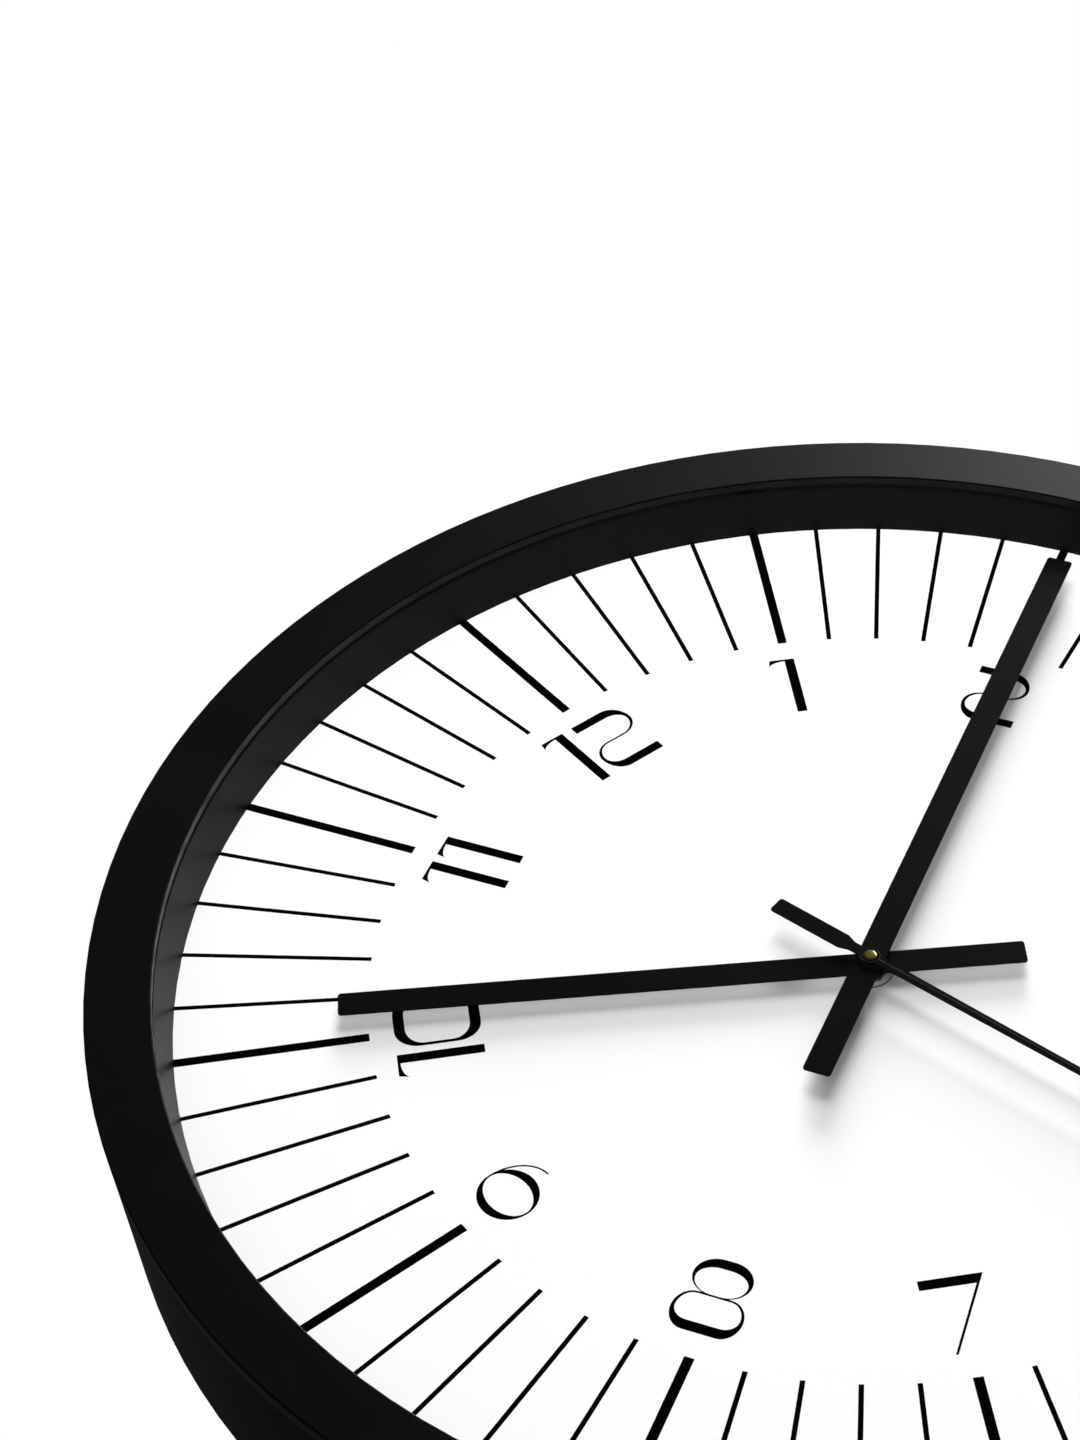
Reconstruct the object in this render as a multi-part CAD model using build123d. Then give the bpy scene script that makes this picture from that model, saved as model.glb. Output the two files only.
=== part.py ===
from build123d import *
import os
from math import atan2, cos, degrees, hypot, pi, radians, sin

# A round battery wall clock with a moulded case, a flat acrylic lens, a printed dial and a
# quartz movement with its full gear train. Every length is in millimetres.
#
# The clock is drawn lying on its back: x to 3 o'clock, y to 12 o'clock, and z up from the
# wall plane (z = 0) to the viewer. export_all() stands it up, so the dial then faces -Y.

# ---------------------------------------------------------------- case
case_diameter = 307.1          # outside of the front flange
back_diameter = 301.9          # outside of the skirt where it meets the wall
case_depth = 38.4
skirt_wall = 1.8
flange_wall = 2.8
flange_edge = 0.4              # bevel round the flange's outer edge
opening_diameter = 281.2       # inner edge of the front flange
lip_wall = 2.0                 # flange thickness in front of the lens
lip_chamfer = 0.25
rib_count = 6
rib_wall = 1.4
rib_start = 30.0               # angle of the first centring rib, midway between two screws
fit_gap = 0.3                  # radial play of the lens, spacer ring and dial in the case

# ---------------------------------------------------------------- lens, spacer ring, dial
stack_diameter = 288.0         # lens, spacer ring and dial share one outside diameter
lens_thickness = 1.2
dial_recess = 13.4             # dial face below the front of the flange
dial_thickness = 1.2
dial_visible_diameter = 276.2
ring_wall = 1.8
ring_flange = 1.5

# ---------------------------------------------------------------- rear cover and its screws
cover_thickness = 2.0
cover_inset = 4.0              # back of the cover above the wall plane
cover_gap = 0.35
press_wall = 1.8               # tall ring that presses the dial forward
press_gap = 0.5
press_play = 0.1               # between the press ring and the ends of the cover's ribs
screw_count = 6
screw_circle = 285.8
screw_shank = 1.8
screw_length = 9.0
screw_head = 4.2
screw_head_height = 1.4
screw_head_edge = 0.5
screw_hole = 2.4
pilot_play = 0.04
boss_width = 6.4
boss_height = 16.0
boss_face_wall = 0.65          # plastic left between the pilot hole and the boss's flat face
notch_gap = 0.15
notch_side_gap = 0.3
well_gap = 0.7                 # play between the movement and the well around it
well_wall = 1.6
well_lap = 1.8                 # how far the well reaches past the movement's back
cover_rib_wall = 1.4
cover_rib_height = 2.6
ring_rib_diameter = 176.0
ring_rib_height = 2.0
keyhole_height = 100.0         # centre of the keyhole's entry above the hands' axis
keyhole_entry = 9.0
keyhole_slot = 4.6
keyhole_rise = 9.0             # entry centre to the centre of the slot's closed end
keyhole_pad = 1.2
keyhole_pad_margin = 4.5

# ---------------------------------------------------------------- movement case
movement_size = 56.0
movement_depth = 16.0
movement_wall = 1.2
movement_corner = 3.0
movement_split = 8.0           # depth of the rear half
gasket_diameter = 18.0
gasket_thickness = 1.0
bearing_wall = 0.8
bearing_height = 0.7
bearing_play = 0.05            # radial play of a pivot in its bearing
bay_wall_gap = 0.2             # between the battery bay's wall and the front half
pivot_end_play = 0.2
snap_width = 7.0
snap_offset = 15.0             # snap arms either side of the hands' axis
snap_wall = 0.9
snap_root = 3.0                # arm fused to the rear half over this height
snap_reach = 3.6               # arm above the split
snap_hook = 0.6                # hook depth into the window
snap_hook_height = 1.2
snap_play = 0.1

# ---------------------------------------------------------------- hand shafts and their nut
running_play = 0.08            # radial play between the nested shafts
seat_play = 0.02               # radial play of pieces fixed on a shaft or in a hole
arbor_diameter = 0.9           # seconds arbor
minute_tube_diameter = 3.04
hour_tube_diameter = 4.14
bushing_diameter = 6.0
bushing_flange = 12.0
bushing_flange_wall = 0.8
bushing_above_dial = 1.3
bushing_hole_play = 0.04
dial_hole_play = 0.2
washer_diameter = 9.8
washer_thickness = 0.3
washer_play = 0.1
nut_flats = 7.4
nut_thickness = 1.0
nut_turn = 11.0

# ---------------------------------------------------------------- hands
hand_width = 5.75
hand_thickness = 0.25
hand_tail = 31.6
hand_corner = 0.7
hour_hand_length = 105.7
hour_hand_top = 2.0            # upper face above the dial
hour_hand_clock = 304.3       # clock angle at rest, degrees clockwise from 12
minute_hand_length = 131.5
minute_hand_top = 3.1
minute_hand_clock = 60.39
tube_above_hand = 0.15
second_hand_length = 130.0
second_hand_top = 4.3
second_hand_thickness = 0.3
second_hand_root = 2.2
second_hand_tip = 0.8
second_hand_pad = 4.2
second_hand_clock = 167.4
weight_width = 3.88
weight_start = 6.6
weight_end = 23.7
weight_corner = 0.4
neck_width = 2.4
neck_end = 4.6
hub_diameter = 2.7
hub_above_hand = 0.15
hub_height = 1.0
hub_edge = 0.2                 # bevel round the cap's top
hub_wall_above_arbor = 0.3

# ---------------------------------------------------------------- gear train
tooth_addendum = 1.0           # in modules
tooth_dedendum = 1.25
tooth_tip_share = 0.12         # half tooth, as a share of the pitch, at the tip and the root
tooth_root_share = 0.32
wheel_thickness = 0.8
pivot_diameter = 0.8
transfer_pivot_diameter = 1.4
hub_wall = 0.9
transfer_hub_wall = 0.4
pinion_overhang = 0.3          # a pinion stands this far past the wheel that it meets
pinion_end_play = 0.15
wheel_gap = 0.3                # axial gap between stacked wheels

rotor_pinion_teeth = 8
intermediate_wheel_teeth = 48
intermediate_pinion_teeth = 10
second_wheel_teeth = 50
second_pinion_teeth = 8
third_wheel_teeth = 64
third_pinion_teeth = 8
minute_wheel_teeth = 60
minute_pinion_teeth = 12
transfer_wheel_teeth = 36
transfer_pinion_teeth = 10
hour_wheel_teeth = 40

rotor_distance = 7.0           # rotor to intermediate wheel
rotor_direction = 75.0
intermediate_distance = 9.0    # intermediate wheel to the hands' axis
intermediate_direction = 95.0
third_distance = 9.0
third_direction = 30.0
transfer_distance = 9.6
transfer_direction = 155.0

# Heights inside the movement, above its back face.
intermediate_wheel_level = 2.1
second_wheel_level = 3.3
third_wheel_level = 4.7
minute_wheel_level = 6.9
transfer_wheel_level = 8.7
hour_wheel_level = 10.9
magnet_level = 5.4
stator_level = 6.3

# ---------------------------------------------------------------- motor, board and battery
magnet_diameter = 6.0
magnet_height = 2.8
rotor_hub_diameter = 1.6
stator_thickness = 1.2
stator_bar = 5.0
stator_leg = 3.9
stator_ring_wall = 1.0
stator_lap = 0.6
stator_hole_gap = 0.5
coil_centre_x = 1.0
coil_wall_gap = 0.3            # between the bobbin and the wall of the movement's case
coil_length = 18.0
winding_diameter = 5.6
bobbin_flange_diameter = 6.6
bobbin_flange_wall = 0.8
bobbin_tube_diameter = 3.4
core_height = 2.0
core_thickness = 1.0
core_play = 0.05
core_end_inset = 0.4
board_width = 10.2
board_height = 23.5
board_thickness = 0.8
board_level = 1.9
board_bottom = 2.3
board_gap = 0.05
board_post = 2.4
board_post_shares = (0.15, 0.85)   # places of the posts along the board
crystal_diameter = 2.0
crystal_length = 6.0
crystal_edge = 0.2
crystal_share = 0.25
chip_diameter = 5.0
chip_height = 1.2
chip_edge = 0.7
chip_share = 0.7               # place of the chip's dome along the board
battery_diameter = 14.2
battery_length = 50.5
battery_nub_diameter = 5.5
battery_nub_length = 1.2
battery_edge = 0.6
battery_side_gap = 0.8
battery_back_inset = 0.3
bay_wall = 1.0
bay_wall_end_gap = 0.1
contact_thickness = 0.4
contact_gap = 0.15
contact_width = 11.0
contact_bottom_level = 2.0
contact_top_gap = 0.3
tongue_width = 5.0
tongue_span = 7.9              # straight distance between the feet of the spring tongue
tongue_foot = 0.8
tongue_gap = 0.02
lead_width = 2.0
lead_level = 1.9
lead_wall_gap = 0.1
lead_lap = 4.0                 # how far the positive lead reaches along the board's side
knob_diameter = 10.0
knob_thickness = 2.2
knob_gap = 0.6
knob_face_wall = 0.6
knob_flutes = 12
knob_flute_radius = 0.8
knob_flute_offset = 0.2        # centres of the flutes outside the knob's rim

# ---------------------------------------------------------------- worked-out places
front_z = case_depth
dial_face_z = case_depth - dial_recess
dial_back_z = dial_face_z - dial_thickness
lens_front_z = case_depth - lip_wall
lens_back_z = lens_front_z - lens_thickness
cover_front_z = cover_inset + cover_thickness
movement_front_z = dial_back_z - gasket_thickness
movement_back_z = movement_front_z - movement_depth
movement_half = movement_size / 2
inner_half = movement_half - movement_wall
floor_z = movement_back_z + movement_wall       # inner face of the movement's back wall
ceiling_z = movement_front_z - movement_wall    # inner face of its front wall
opening_radius = opening_diameter / 2
stack_radius = stack_diameter / 2
seat_radius = stack_radius + fit_gap
screw_radius = screw_circle / 2
boss_face_radius = screw_radius - screw_shank / 2 - pilot_play - boss_face_wall
notch_radius = boss_face_radius - notch_gap
press_radius = boss_face_radius - press_gap
well_half = movement_half + well_gap
well_outer = well_half + well_wall
well_corner = movement_corner + well_gap
well_top_z = movement_back_z + well_lap
battery_radius = battery_diameter / 2
battery_y = -inner_half + battery_side_gap + battery_radius
battery_z = movement_back_z + battery_back_inset + battery_radius
battery_right = inner_half - contact_gap - contact_thickness - contact_gap
battery_left = battery_right - battery_length
bay_top = battery_y + battery_radius + battery_side_gap
second_hand_top_z = dial_face_z + second_hand_top


def polar(radius, direction):
    """Point at a distance and a direction in degrees, anticlockwise from 3 o'clock."""
    return (radius * cos(radians(direction)), radius * sin(radians(direction)))


third_axis = polar(third_distance, third_direction)
transfer_axis = polar(transfer_distance, transfer_direction)
intermediate_axis = polar(intermediate_distance, intermediate_direction)
rotor_step = polar(rotor_distance, rotor_direction)
rotor_axis = (intermediate_axis[0] + rotor_step[0], intermediate_axis[1] + rotor_step[1])
centre_axis = (0.0, 0.0)


# ---------------------------------------------------------------- shared shapes
def cylinder(radius, bottom, top, at=centre_axis):
    """Upright cylinder between two heights."""
    return Pos(at[0], at[1], (bottom + top) / 2) * Cylinder(radius, top - bottom)


def tube(outer, inner, bottom, top, at=centre_axis):
    """Upright tube between two heights."""
    return cylinder(outer, bottom, top, at) - cylinder(inner, bottom - 1, top + 1, at)


def block(x0, x1, y0, y1, z0, z1):
    """Box from its two corners."""
    centre = Pos((x0 + x1) / 2, (y0 + y1) / 2, (z0 + z1) / 2)
    return centre * Box(x1 - x0, y1 - y0, z1 - z0)


def rounded_block(half, corner, bottom, top):
    """Square prism about the hands' axis with rounded upright edges."""
    face = RectangleRounded(2 * half, 2 * half, corner)
    return Pos(0, 0, bottom) * extrude(face, top - bottom)


def turned(points):
    """Solid of revolution about the hands' axis from a closed (radius, height) outline."""
    outline = Plane.XZ * make_face(Polyline(*points, close=True))
    return revolve(outline, Axis.Z, 360)


def around(shape, count, start=0.0):
    """Copies of a shape, evenly turned about the hands' axis."""
    return [Rot(0, 0, start + 360 / count * turn) * shape for turn in range(count)]


def on_both_sides(shape):
    """Four copies of a shape: itself, its mirror across y = 0, and both turned half a turn."""
    return around(shape, 2) + around(mirror(shape, Plane.XZ), 2)


def skirt_radius(z):
    """Outside radius of the tapered skirt at a height."""
    taper = (case_diameter - back_diameter) / 2 / case_depth
    return back_diameter / 2 + taper * z


def ring_radius(z):
    """Radius of the spacer ring's visible wall, which widens from the dial to the lens."""
    share = (z - dial_face_z) / (lens_back_z - dial_face_z)
    return dial_visible_diameter / 2 + share * (opening_diameter - dial_visible_diameter) / 2


# ---------------------------------------------------------------- case and front stack
def make_case_ring():
    """Front flange, lens seat, tapered skirt, screw bosses and centring ribs in one moulding."""
    back_radius = skirt_radius(0)
    flange_back = front_z - flange_wall
    shell = turned([
        (back_radius, 0),
        (skirt_radius(front_z), front_z),
        (opening_radius, front_z),
        (opening_radius, lens_front_z),
        (seat_radius, lens_front_z),
        (seat_radius, flange_back),
        (skirt_radius(flange_back) - skirt_wall, flange_back),
        (back_radius - skirt_wall, 0),
    ])
    front_edges = shell.edges().filter_by(GeomType.CIRCLE).filter_by_position(Axis.Z, front_z, front_z)
    front_edges = front_edges.sort_by(SortBy.RADIUS)
    shell = chamfer(front_edges[0], lip_chamfer)
    front_edges = shell.edges().filter_by(GeomType.CIRCLE).filter_by_position(Axis.Z, front_z, front_z)
    shell = chamfer(front_edges.sort_by(SortBy.RADIUS)[-1], flange_edge)

    # Bosses and ribs run into the middle of the skirt's wall and stop there.
    core = turned([
        (0, 0),
        (back_radius - skirt_wall / 2, 0),
        (skirt_radius(front_z) - skirt_wall / 2, front_z),
        (0, front_z),
    ])
    reach = skirt_radius(front_z)
    boss = block(boss_face_radius, reach, -boss_width / 2, boss_width / 2,
                 cover_front_z, cover_front_z + boss_height)
    pilot = cylinder(screw_shank / 2 + pilot_play, 0, cover_inset + screw_length + 1, (screw_radius, 0))
    rib = block(seat_radius, reach, -rib_wall / 2, rib_wall / 2, dial_back_z, flange_back)
    added = around(boss - pilot, screw_count) + around(rib, rib_count, rib_start)
    return shell + [core & piece for piece in added]


def notches(bottom, top):
    """Cutters that let a disc of the front stack pass the screw bosses."""
    half = boss_width / 2 + notch_side_gap
    cutter = block(notch_radius, stack_radius + 5, -half, half, bottom - 1, top + 1)
    return around(cutter, screw_count)


def make_clear_lens():
    """Flat acrylic disc behind the front lip."""
    return cylinder(stack_radius, lens_back_z, lens_front_z) - notches(lens_back_z, lens_front_z)


def make_inner_ring():
    """Channel-section spacer between the lens and the dial, with a sloped visible wall."""
    foot_top = dial_face_z + ring_flange
    head_bottom = lens_back_z - ring_flange
    ring = turned([
        (ring_radius(dial_face_z), dial_face_z),
        (stack_radius, dial_face_z),
        (stack_radius, foot_top),
        (ring_radius(foot_top) + ring_wall, foot_top),
        (ring_radius(head_bottom) + ring_wall, head_bottom),
        (stack_radius, head_bottom),
        (stack_radius, lens_back_z),
        (ring_radius(lens_back_z), lens_back_z),
    ])
    return ring - notches(dial_face_z, lens_back_z)


def make_dial_plate():
    """White dial disc with the hole for the threaded bushing."""
    disc = cylinder(stack_radius, dial_back_z, dial_face_z)
    hole = cylinder(bushing_diameter / 2 + dial_hole_play, dial_back_z - 1, dial_face_z + 1)
    return disc - hole - notches(dial_back_z, dial_face_z)


# ---------------------------------------------------------------- rear cover
def keyhole_cutter():
    """Round entry with a narrower slot above it."""
    bottom = cover_inset - 1
    top = cover_front_z + keyhole_pad + 1
    entry = cylinder(keyhole_entry / 2, bottom, top, (0, keyhole_height))
    slot_top = keyhole_height + keyhole_rise
    slot = block(-keyhole_slot / 2, keyhole_slot / 2, keyhole_height, slot_top, bottom, top)
    end = cylinder(keyhole_slot / 2, bottom, top, (0, slot_top))
    return entry + slot + end


def make_rear_cover():
    """Flat cover with a hole for the movement's well, stiffening ribs and a keyhole."""
    cover_radius = skirt_radius(cover_inset) - skirt_wall - cover_gap
    plate = cylinder(cover_radius, cover_inset, cover_front_z)
    ring_rib = tube(ring_rib_diameter / 2 + cover_rib_wall, ring_rib_diameter / 2,
                    cover_front_z, cover_front_z + ring_rib_height)
    rib_end = press_radius - press_wall - press_play
    rib = block(well_half, rib_end, -cover_rib_wall / 2, cover_rib_wall / 2,
                cover_front_z, cover_front_z + cover_rib_height)
    ribs = around(rib, 4, 45) + around(rib, 4)
    pad_half = keyhole_entry / 2 + keyhole_pad_margin
    pad_length = keyhole_rise + 2 * pad_half
    pad_face = Pos(0, keyhole_height + keyhole_rise / 2) * SlotOverall(pad_length, 2 * pad_half, 90)
    pad = Pos(0, 0, cover_front_z) * extrude(pad_face, keyhole_pad)
    pad_clear = Pos(0, 0, cover_front_z + keyhole_pad) * extrude(pad_face, cover_rib_height)
    cover = plate + ring_rib + ribs - pad_clear + pad
    hole_half = well_outer + seat_play
    cover -= rounded_block(hole_half, well_corner + well_wall, cover_inset - 1, well_top_z)
    cover -= around(cylinder(screw_hole / 2, 0, cover_front_z + 1, (screw_radius, 0)), screw_count)
    return cover - keyhole_cutter()


def make_movement_well():
    """Square wall that rises from the cover's hole and surrounds the back of the movement."""
    outer = rounded_block(well_outer, well_corner + well_wall, cover_inset, well_top_z)
    return outer - rounded_block(well_half, well_corner, cover_inset - 1, well_top_z + 1)


def make_press_ring():
    """Tall ring between the cover and the dial, centred by the ends of the cover's ribs."""
    return tube(press_radius, press_radius - press_wall, cover_front_z, dial_back_z)


def make_rear_cover_screws():
    """Pan-head screws through the cover's rim into the case bosses."""
    shank = cylinder(screw_shank / 2, cover_inset, cover_inset + screw_length, (screw_radius, 0))
    head = cylinder(screw_head / 2, cover_inset - screw_head_height, cover_inset, (screw_radius, 0))
    rim = head.edges().filter_by(GeomType.CIRCLE).sort_by(Axis.Z)[0]
    head = chamfer(rim, screw_head_edge)
    return Compound(children=[one.solid() for one in around(shank + head, screw_count)])


# ---------------------------------------------------------------- movement case
def bearing(axis, diameter, base_z, direction):
    """Small boss on an inner wall; direction is +1 on the floor and -1 on the ceiling."""
    radius = diameter / 2 + bearing_play + bearing_wall
    low, high = sorted((base_z, base_z + direction * bearing_height))
    return cylinder(radius, low, high, axis)


def bearing_hole(axis, diameter, base_z, direction):
    """Blind hole of a bearing, which starts inside the wall behind the boss."""
    low, high = sorted((base_z - direction * pivot_end_play, base_z + direction * (bearing_height + 1)))
    return cylinder(diameter / 2 + bearing_play, low, high, axis)


small_axes = (third_axis, intermediate_axis, rotor_axis)


def make_movement_front_case():
    """Front half of the movement's case, with the ceiling bearings and the bushing's hole."""
    split_z = movement_back_z + movement_split
    outer = rounded_block(movement_half, movement_corner, split_z, movement_front_z)
    inner = rounded_block(inner_half, movement_corner - movement_wall, split_z - 1, ceiling_z)
    case = outer - inner
    case += [bearing(axis, pivot_diameter, ceiling_z, -1) for axis in small_axes]
    case += bearing(transfer_axis, transfer_pivot_diameter, ceiling_z, -1)
    case -= [bearing_hole(axis, pivot_diameter, ceiling_z, -1) for axis in small_axes]
    case -= bearing_hole(transfer_axis, transfer_pivot_diameter, ceiling_z, -1)
    # Windows in two side walls take the hooks of the rear half's snap arms.
    window_half = snap_width / 2 + snap_play
    window_top = split_z + snap_reach + snap_play
    window = block(inner_half - 1, movement_half + 1, snap_offset - window_half, snap_offset + window_half,
                   window_top - snap_hook_height - 2 * snap_play, window_top)
    case -= on_both_sides(window)
    return case - cylinder(bushing_diameter / 2 + bushing_hole_play, ceiling_z - 1, movement_front_z + 1)


def snap_arms(split_z):
    """Four hooked arms outside the side walls that hold the two halves together."""
    outside = movement_half + snap_play
    top = split_z + snap_reach
    y0 = snap_offset - snap_width / 2
    y1 = snap_offset + snap_width / 2
    arm = block(outside, outside + snap_wall, y0, y1, split_z - snap_root, top)
    root_inside = movement_half - snap_play
    arm += block(root_inside, outside + snap_wall, y0, y1, split_z - snap_root, split_z - snap_play)
    arm += block(outside - snap_hook, outside + snap_wall, y0, y1, top - snap_hook_height, top)
    return on_both_sides(arm)


def make_movement_rear_case():
    """Rear half of the movement's case, with the battery bay and the floor bearings."""
    split_z = movement_back_z + movement_split
    outer = rounded_block(movement_half, movement_corner, movement_back_z, split_z)
    inner = rounded_block(inner_half, movement_corner - movement_wall, floor_z, split_z + 1)
    case = outer - inner
    bay_wall_top = ceiling_z - bay_wall_gap
    lower_half = inner_half + movement_wall / 2
    upper_half = inner_half - bay_wall_end_gap
    case += block(-lower_half, lower_half, bay_top, bay_top + bay_wall, movement_back_z, split_z)
    case += block(-upper_half, upper_half, bay_top, bay_top + bay_wall, split_z, bay_wall_top)
    case += bearing(centre_axis, arbor_diameter, floor_z, 1)
    case += [bearing(axis, pivot_diameter, floor_z, 1) for axis in small_axes]
    case += bearing(transfer_axis, transfer_pivot_diameter, floor_z, 1)
    board_x = inner_half - 2 * contact_gap - contact_thickness - board_width / 2
    for share in board_post_shares:
        post = (board_x, board_bottom + board_height * share)
        case += cylinder(board_post / 2, floor_z, movement_back_z + board_level, post)
    case -= bearing_hole(centre_axis, arbor_diameter, floor_z, 1)
    case -= [bearing_hole(axis, pivot_diameter, floor_z, 1) for axis in small_axes]
    case -= cylinder(transfer_pivot_diameter / 2 + running_play, movement_back_z - 1,
                     floor_z + bearing_height + 1, transfer_axis)
    # The bay is open to the back over its whole inner width.
    case -= block(-inner_half, inner_half, -inner_half, bay_top, movement_back_z - 1, floor_z)
    # The contact leads pass through slots at both ends of the bay wall.
    slot_z0 = movement_back_z + lead_level - lead_wall_gap
    slot_z1 = movement_back_z + lead_level + lead_width + lead_wall_gap
    slot_depth = contact_gap + contact_thickness + lead_wall_gap
    for side in (-1, 1):
        x0, x1 = sorted((side * inner_half, side * (inner_half - slot_depth)))
        case -= block(x0, x1, bay_top - 1, bay_top + bay_wall + 1, slot_z0, slot_z1)
    return case + snap_arms(split_z)


def make_threaded_bushing():
    """Brass bushing with a flange behind the movement's front wall."""
    bore = hour_tube_diameter / 2 + running_play
    top = dial_face_z + bushing_above_dial
    body = tube(bushing_diameter / 2, bore, ceiling_z - bushing_flange_wall, top)
    flange = tube(bushing_flange / 2, bore, ceiling_z - bushing_flange_wall, ceiling_z)
    return body + flange


def make_dial_gasket():
    """Rubber ring between the movement and the back of the dial."""
    inner = bushing_diameter / 2 + dial_hole_play
    return tube(gasket_diameter / 2, inner, movement_front_z, dial_back_z)


def make_dial_washer():
    """Thin steel washer on the dial's face."""
    inner = bushing_diameter / 2 + washer_play
    return tube(washer_diameter / 2, inner, dial_face_z, dial_face_z + washer_thickness)


def make_hex_nut():
    """Thin hexagon nut that clamps the movement to the dial."""
    bottom = dial_face_z + washer_thickness
    hexagon = RegularPolygon(nut_flats / 2, 6, major_radius=False)
    nut = Pos(0, 0, bottom) * Rot(0, 0, nut_turn) * extrude(hexagon, nut_thickness)
    thread_radius = bushing_diameter / 2 + seat_play
    return nut - cylinder(thread_radius, bottom - 1, bottom + nut_thickness + 1)


# ---------------------------------------------------------------- hands
def clock_turn(clock_angle):
    """Rotation that lays a hand drawn along +y at its clock angle."""
    return Rot(0, 0, -clock_angle)


def make_bar_hand(length, top, tube_diameter, clock_angle):
    """Square-ended bar hand with a counterweight tail of the same width."""
    centre_y = (length - hand_tail) / 2
    outline = Pos(0, centre_y) * RectangleRounded(hand_width, length + hand_tail, hand_corner)
    outline -= Circle(tube_diameter / 2 + seat_play)
    bottom = dial_face_z + top - hand_thickness
    return clock_turn(clock_angle) * Pos(0, 0, bottom) * extrude(outline, hand_thickness)


def make_hour_hand():
    """Hour hand, pressed on the hour wheel's tube."""
    return make_bar_hand(hour_hand_length, hour_hand_top, hour_tube_diameter, hour_hand_clock)


def make_minute_hand():
    """Minute hand, pressed on the minute wheel's tube."""
    return make_bar_hand(minute_hand_length, minute_hand_top, minute_tube_diameter, minute_hand_clock)


def make_second_hand():
    """Tapered blade with a round pad, a neck and a square counterweight."""
    outline = make_face(Polyline(
        (second_hand_root / 2, 0),
        (second_hand_tip / 2, second_hand_length),
        (-second_hand_tip / 2, second_hand_length),
        (-second_hand_root / 2, 0),
        (-neck_width / 2, -neck_end),
        (-weight_width / 2, -weight_start),
        (-weight_width / 2, -weight_end + weight_corner),
        (-weight_width / 2 + weight_corner, -weight_end),
        (weight_width / 2 - weight_corner, -weight_end),
        (weight_width / 2, -weight_end + weight_corner),
        (weight_width / 2, -weight_start),
        (neck_width / 2, -neck_end),
        close=True,
    ))
    outline += Circle(second_hand_pad / 2)
    outline -= Circle(hub_diameter / 2 + seat_play)
    bottom = dial_face_z + second_hand_top - second_hand_thickness
    return clock_turn(second_hand_clock) * Pos(0, 0, bottom) * extrude(outline, second_hand_thickness)


def make_second_hand_hub():
    """Brass cap that grips the seconds arbor and carries the second hand."""
    top = second_hand_top_z + hub_above_hand
    cap = cylinder(hub_diameter / 2, top - hub_height, top)
    rim = cap.edges().filter_by(GeomType.CIRCLE).sort_by(Axis.Z)[-1]
    cap = chamfer(rim, hub_edge)
    return cap - cylinder(arbor_diameter / 2 + seat_play, top - hub_height - 1, top - hub_wall_above_arbor)


# ---------------------------------------------------------------- gears
def module_for(distance, teeth_a, teeth_b):
    """Module that puts two meshing gears at a given distance."""
    return 2 * distance / (teeth_a + teeth_b)


def tip_radius(teeth, module):
    """Outside radius of a gear."""
    return module * (teeth / 2 + tooth_addendum)


def toothed(teeth, module, bottom, thickness, phase=0.0):
    """Toothed disc; phase is the direction, in degrees, of its first tooth."""
    root = module * (teeth / 2 - tooth_dedendum)
    tip = tip_radius(teeth, module)
    pitch = 360 / teeth
    points = []
    for tooth in range(teeth):
        middle = phase + tooth * pitch
        points.append(polar(root, middle - tooth_root_share * pitch))
        points.append(polar(tip, middle - tooth_tip_share * pitch))
        points.append(polar(tip, middle + tooth_tip_share * pitch))
        points.append(polar(root, middle + tooth_root_share * pitch))
    face = make_face(Polyline(*points, close=True))
    return Pos(0, 0, bottom) * extrude(face, thickness)


def meshed_phase(pinion_teeth, wheel_teeth, pinion_axis, wheel_axis):
    """Direction of a wheel's tooth so that a pinion whose first tooth is at 0 sits in a gap."""
    line = degrees(atan2(wheel_axis[1] - pinion_axis[1], wheel_axis[0] - pinion_axis[0]))
    pinion_offset = -line * pinion_teeth / 360
    return line + 180 - (pinion_offset + 0.5) * 360 / wheel_teeth


second_module = module_for(intermediate_distance, intermediate_pinion_teeth, second_wheel_teeth)
rotor_module = module_for(rotor_distance, rotor_pinion_teeth, intermediate_wheel_teeth)
third_module = module_for(third_distance, second_pinion_teeth, third_wheel_teeth)
minute_module = module_for(third_distance, third_pinion_teeth, minute_wheel_teeth)
transfer_module = module_for(transfer_distance, minute_pinion_teeth, transfer_wheel_teeth)
hour_module = module_for(transfer_distance, transfer_pinion_teeth, hour_wheel_teeth)


def level(height):
    """Height above the movement's back face, as a height above the wall."""
    return movement_back_z + height


def pivot(axis, diameter=pivot_diameter):
    """Arbor from the floor bearing to the ceiling bearing."""
    return cylinder(diameter / 2, floor_z, ceiling_z, axis)


def place(shape, axis):
    """Move a gear drawn about the hands' axis to its own axis."""
    return Pos(axis[0], axis[1], 0) * shape


def make_rotor_pinion():
    """Rotor arbor with its pinion and the hub that holds the magnet."""
    bottom = floor_z + bearing_height + pinion_end_play
    top = level(intermediate_wheel_level) + wheel_thickness + pinion_overhang
    hub = cylinder(rotor_hub_diameter / 2, top, level(magnet_level + magnet_height), rotor_axis)
    pinion = toothed(rotor_pinion_teeth, rotor_module, bottom, top - bottom)
    return place(pinion, rotor_axis) + hub + pivot(rotor_axis)


def make_rotor_magnet():
    """Two-pole ring magnet on the rotor's hub."""
    bottom = level(magnet_level)
    bore = rotor_hub_diameter / 2 + seat_play
    return tube(magnet_diameter / 2, bore, bottom, bottom + magnet_height, rotor_axis)


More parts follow.
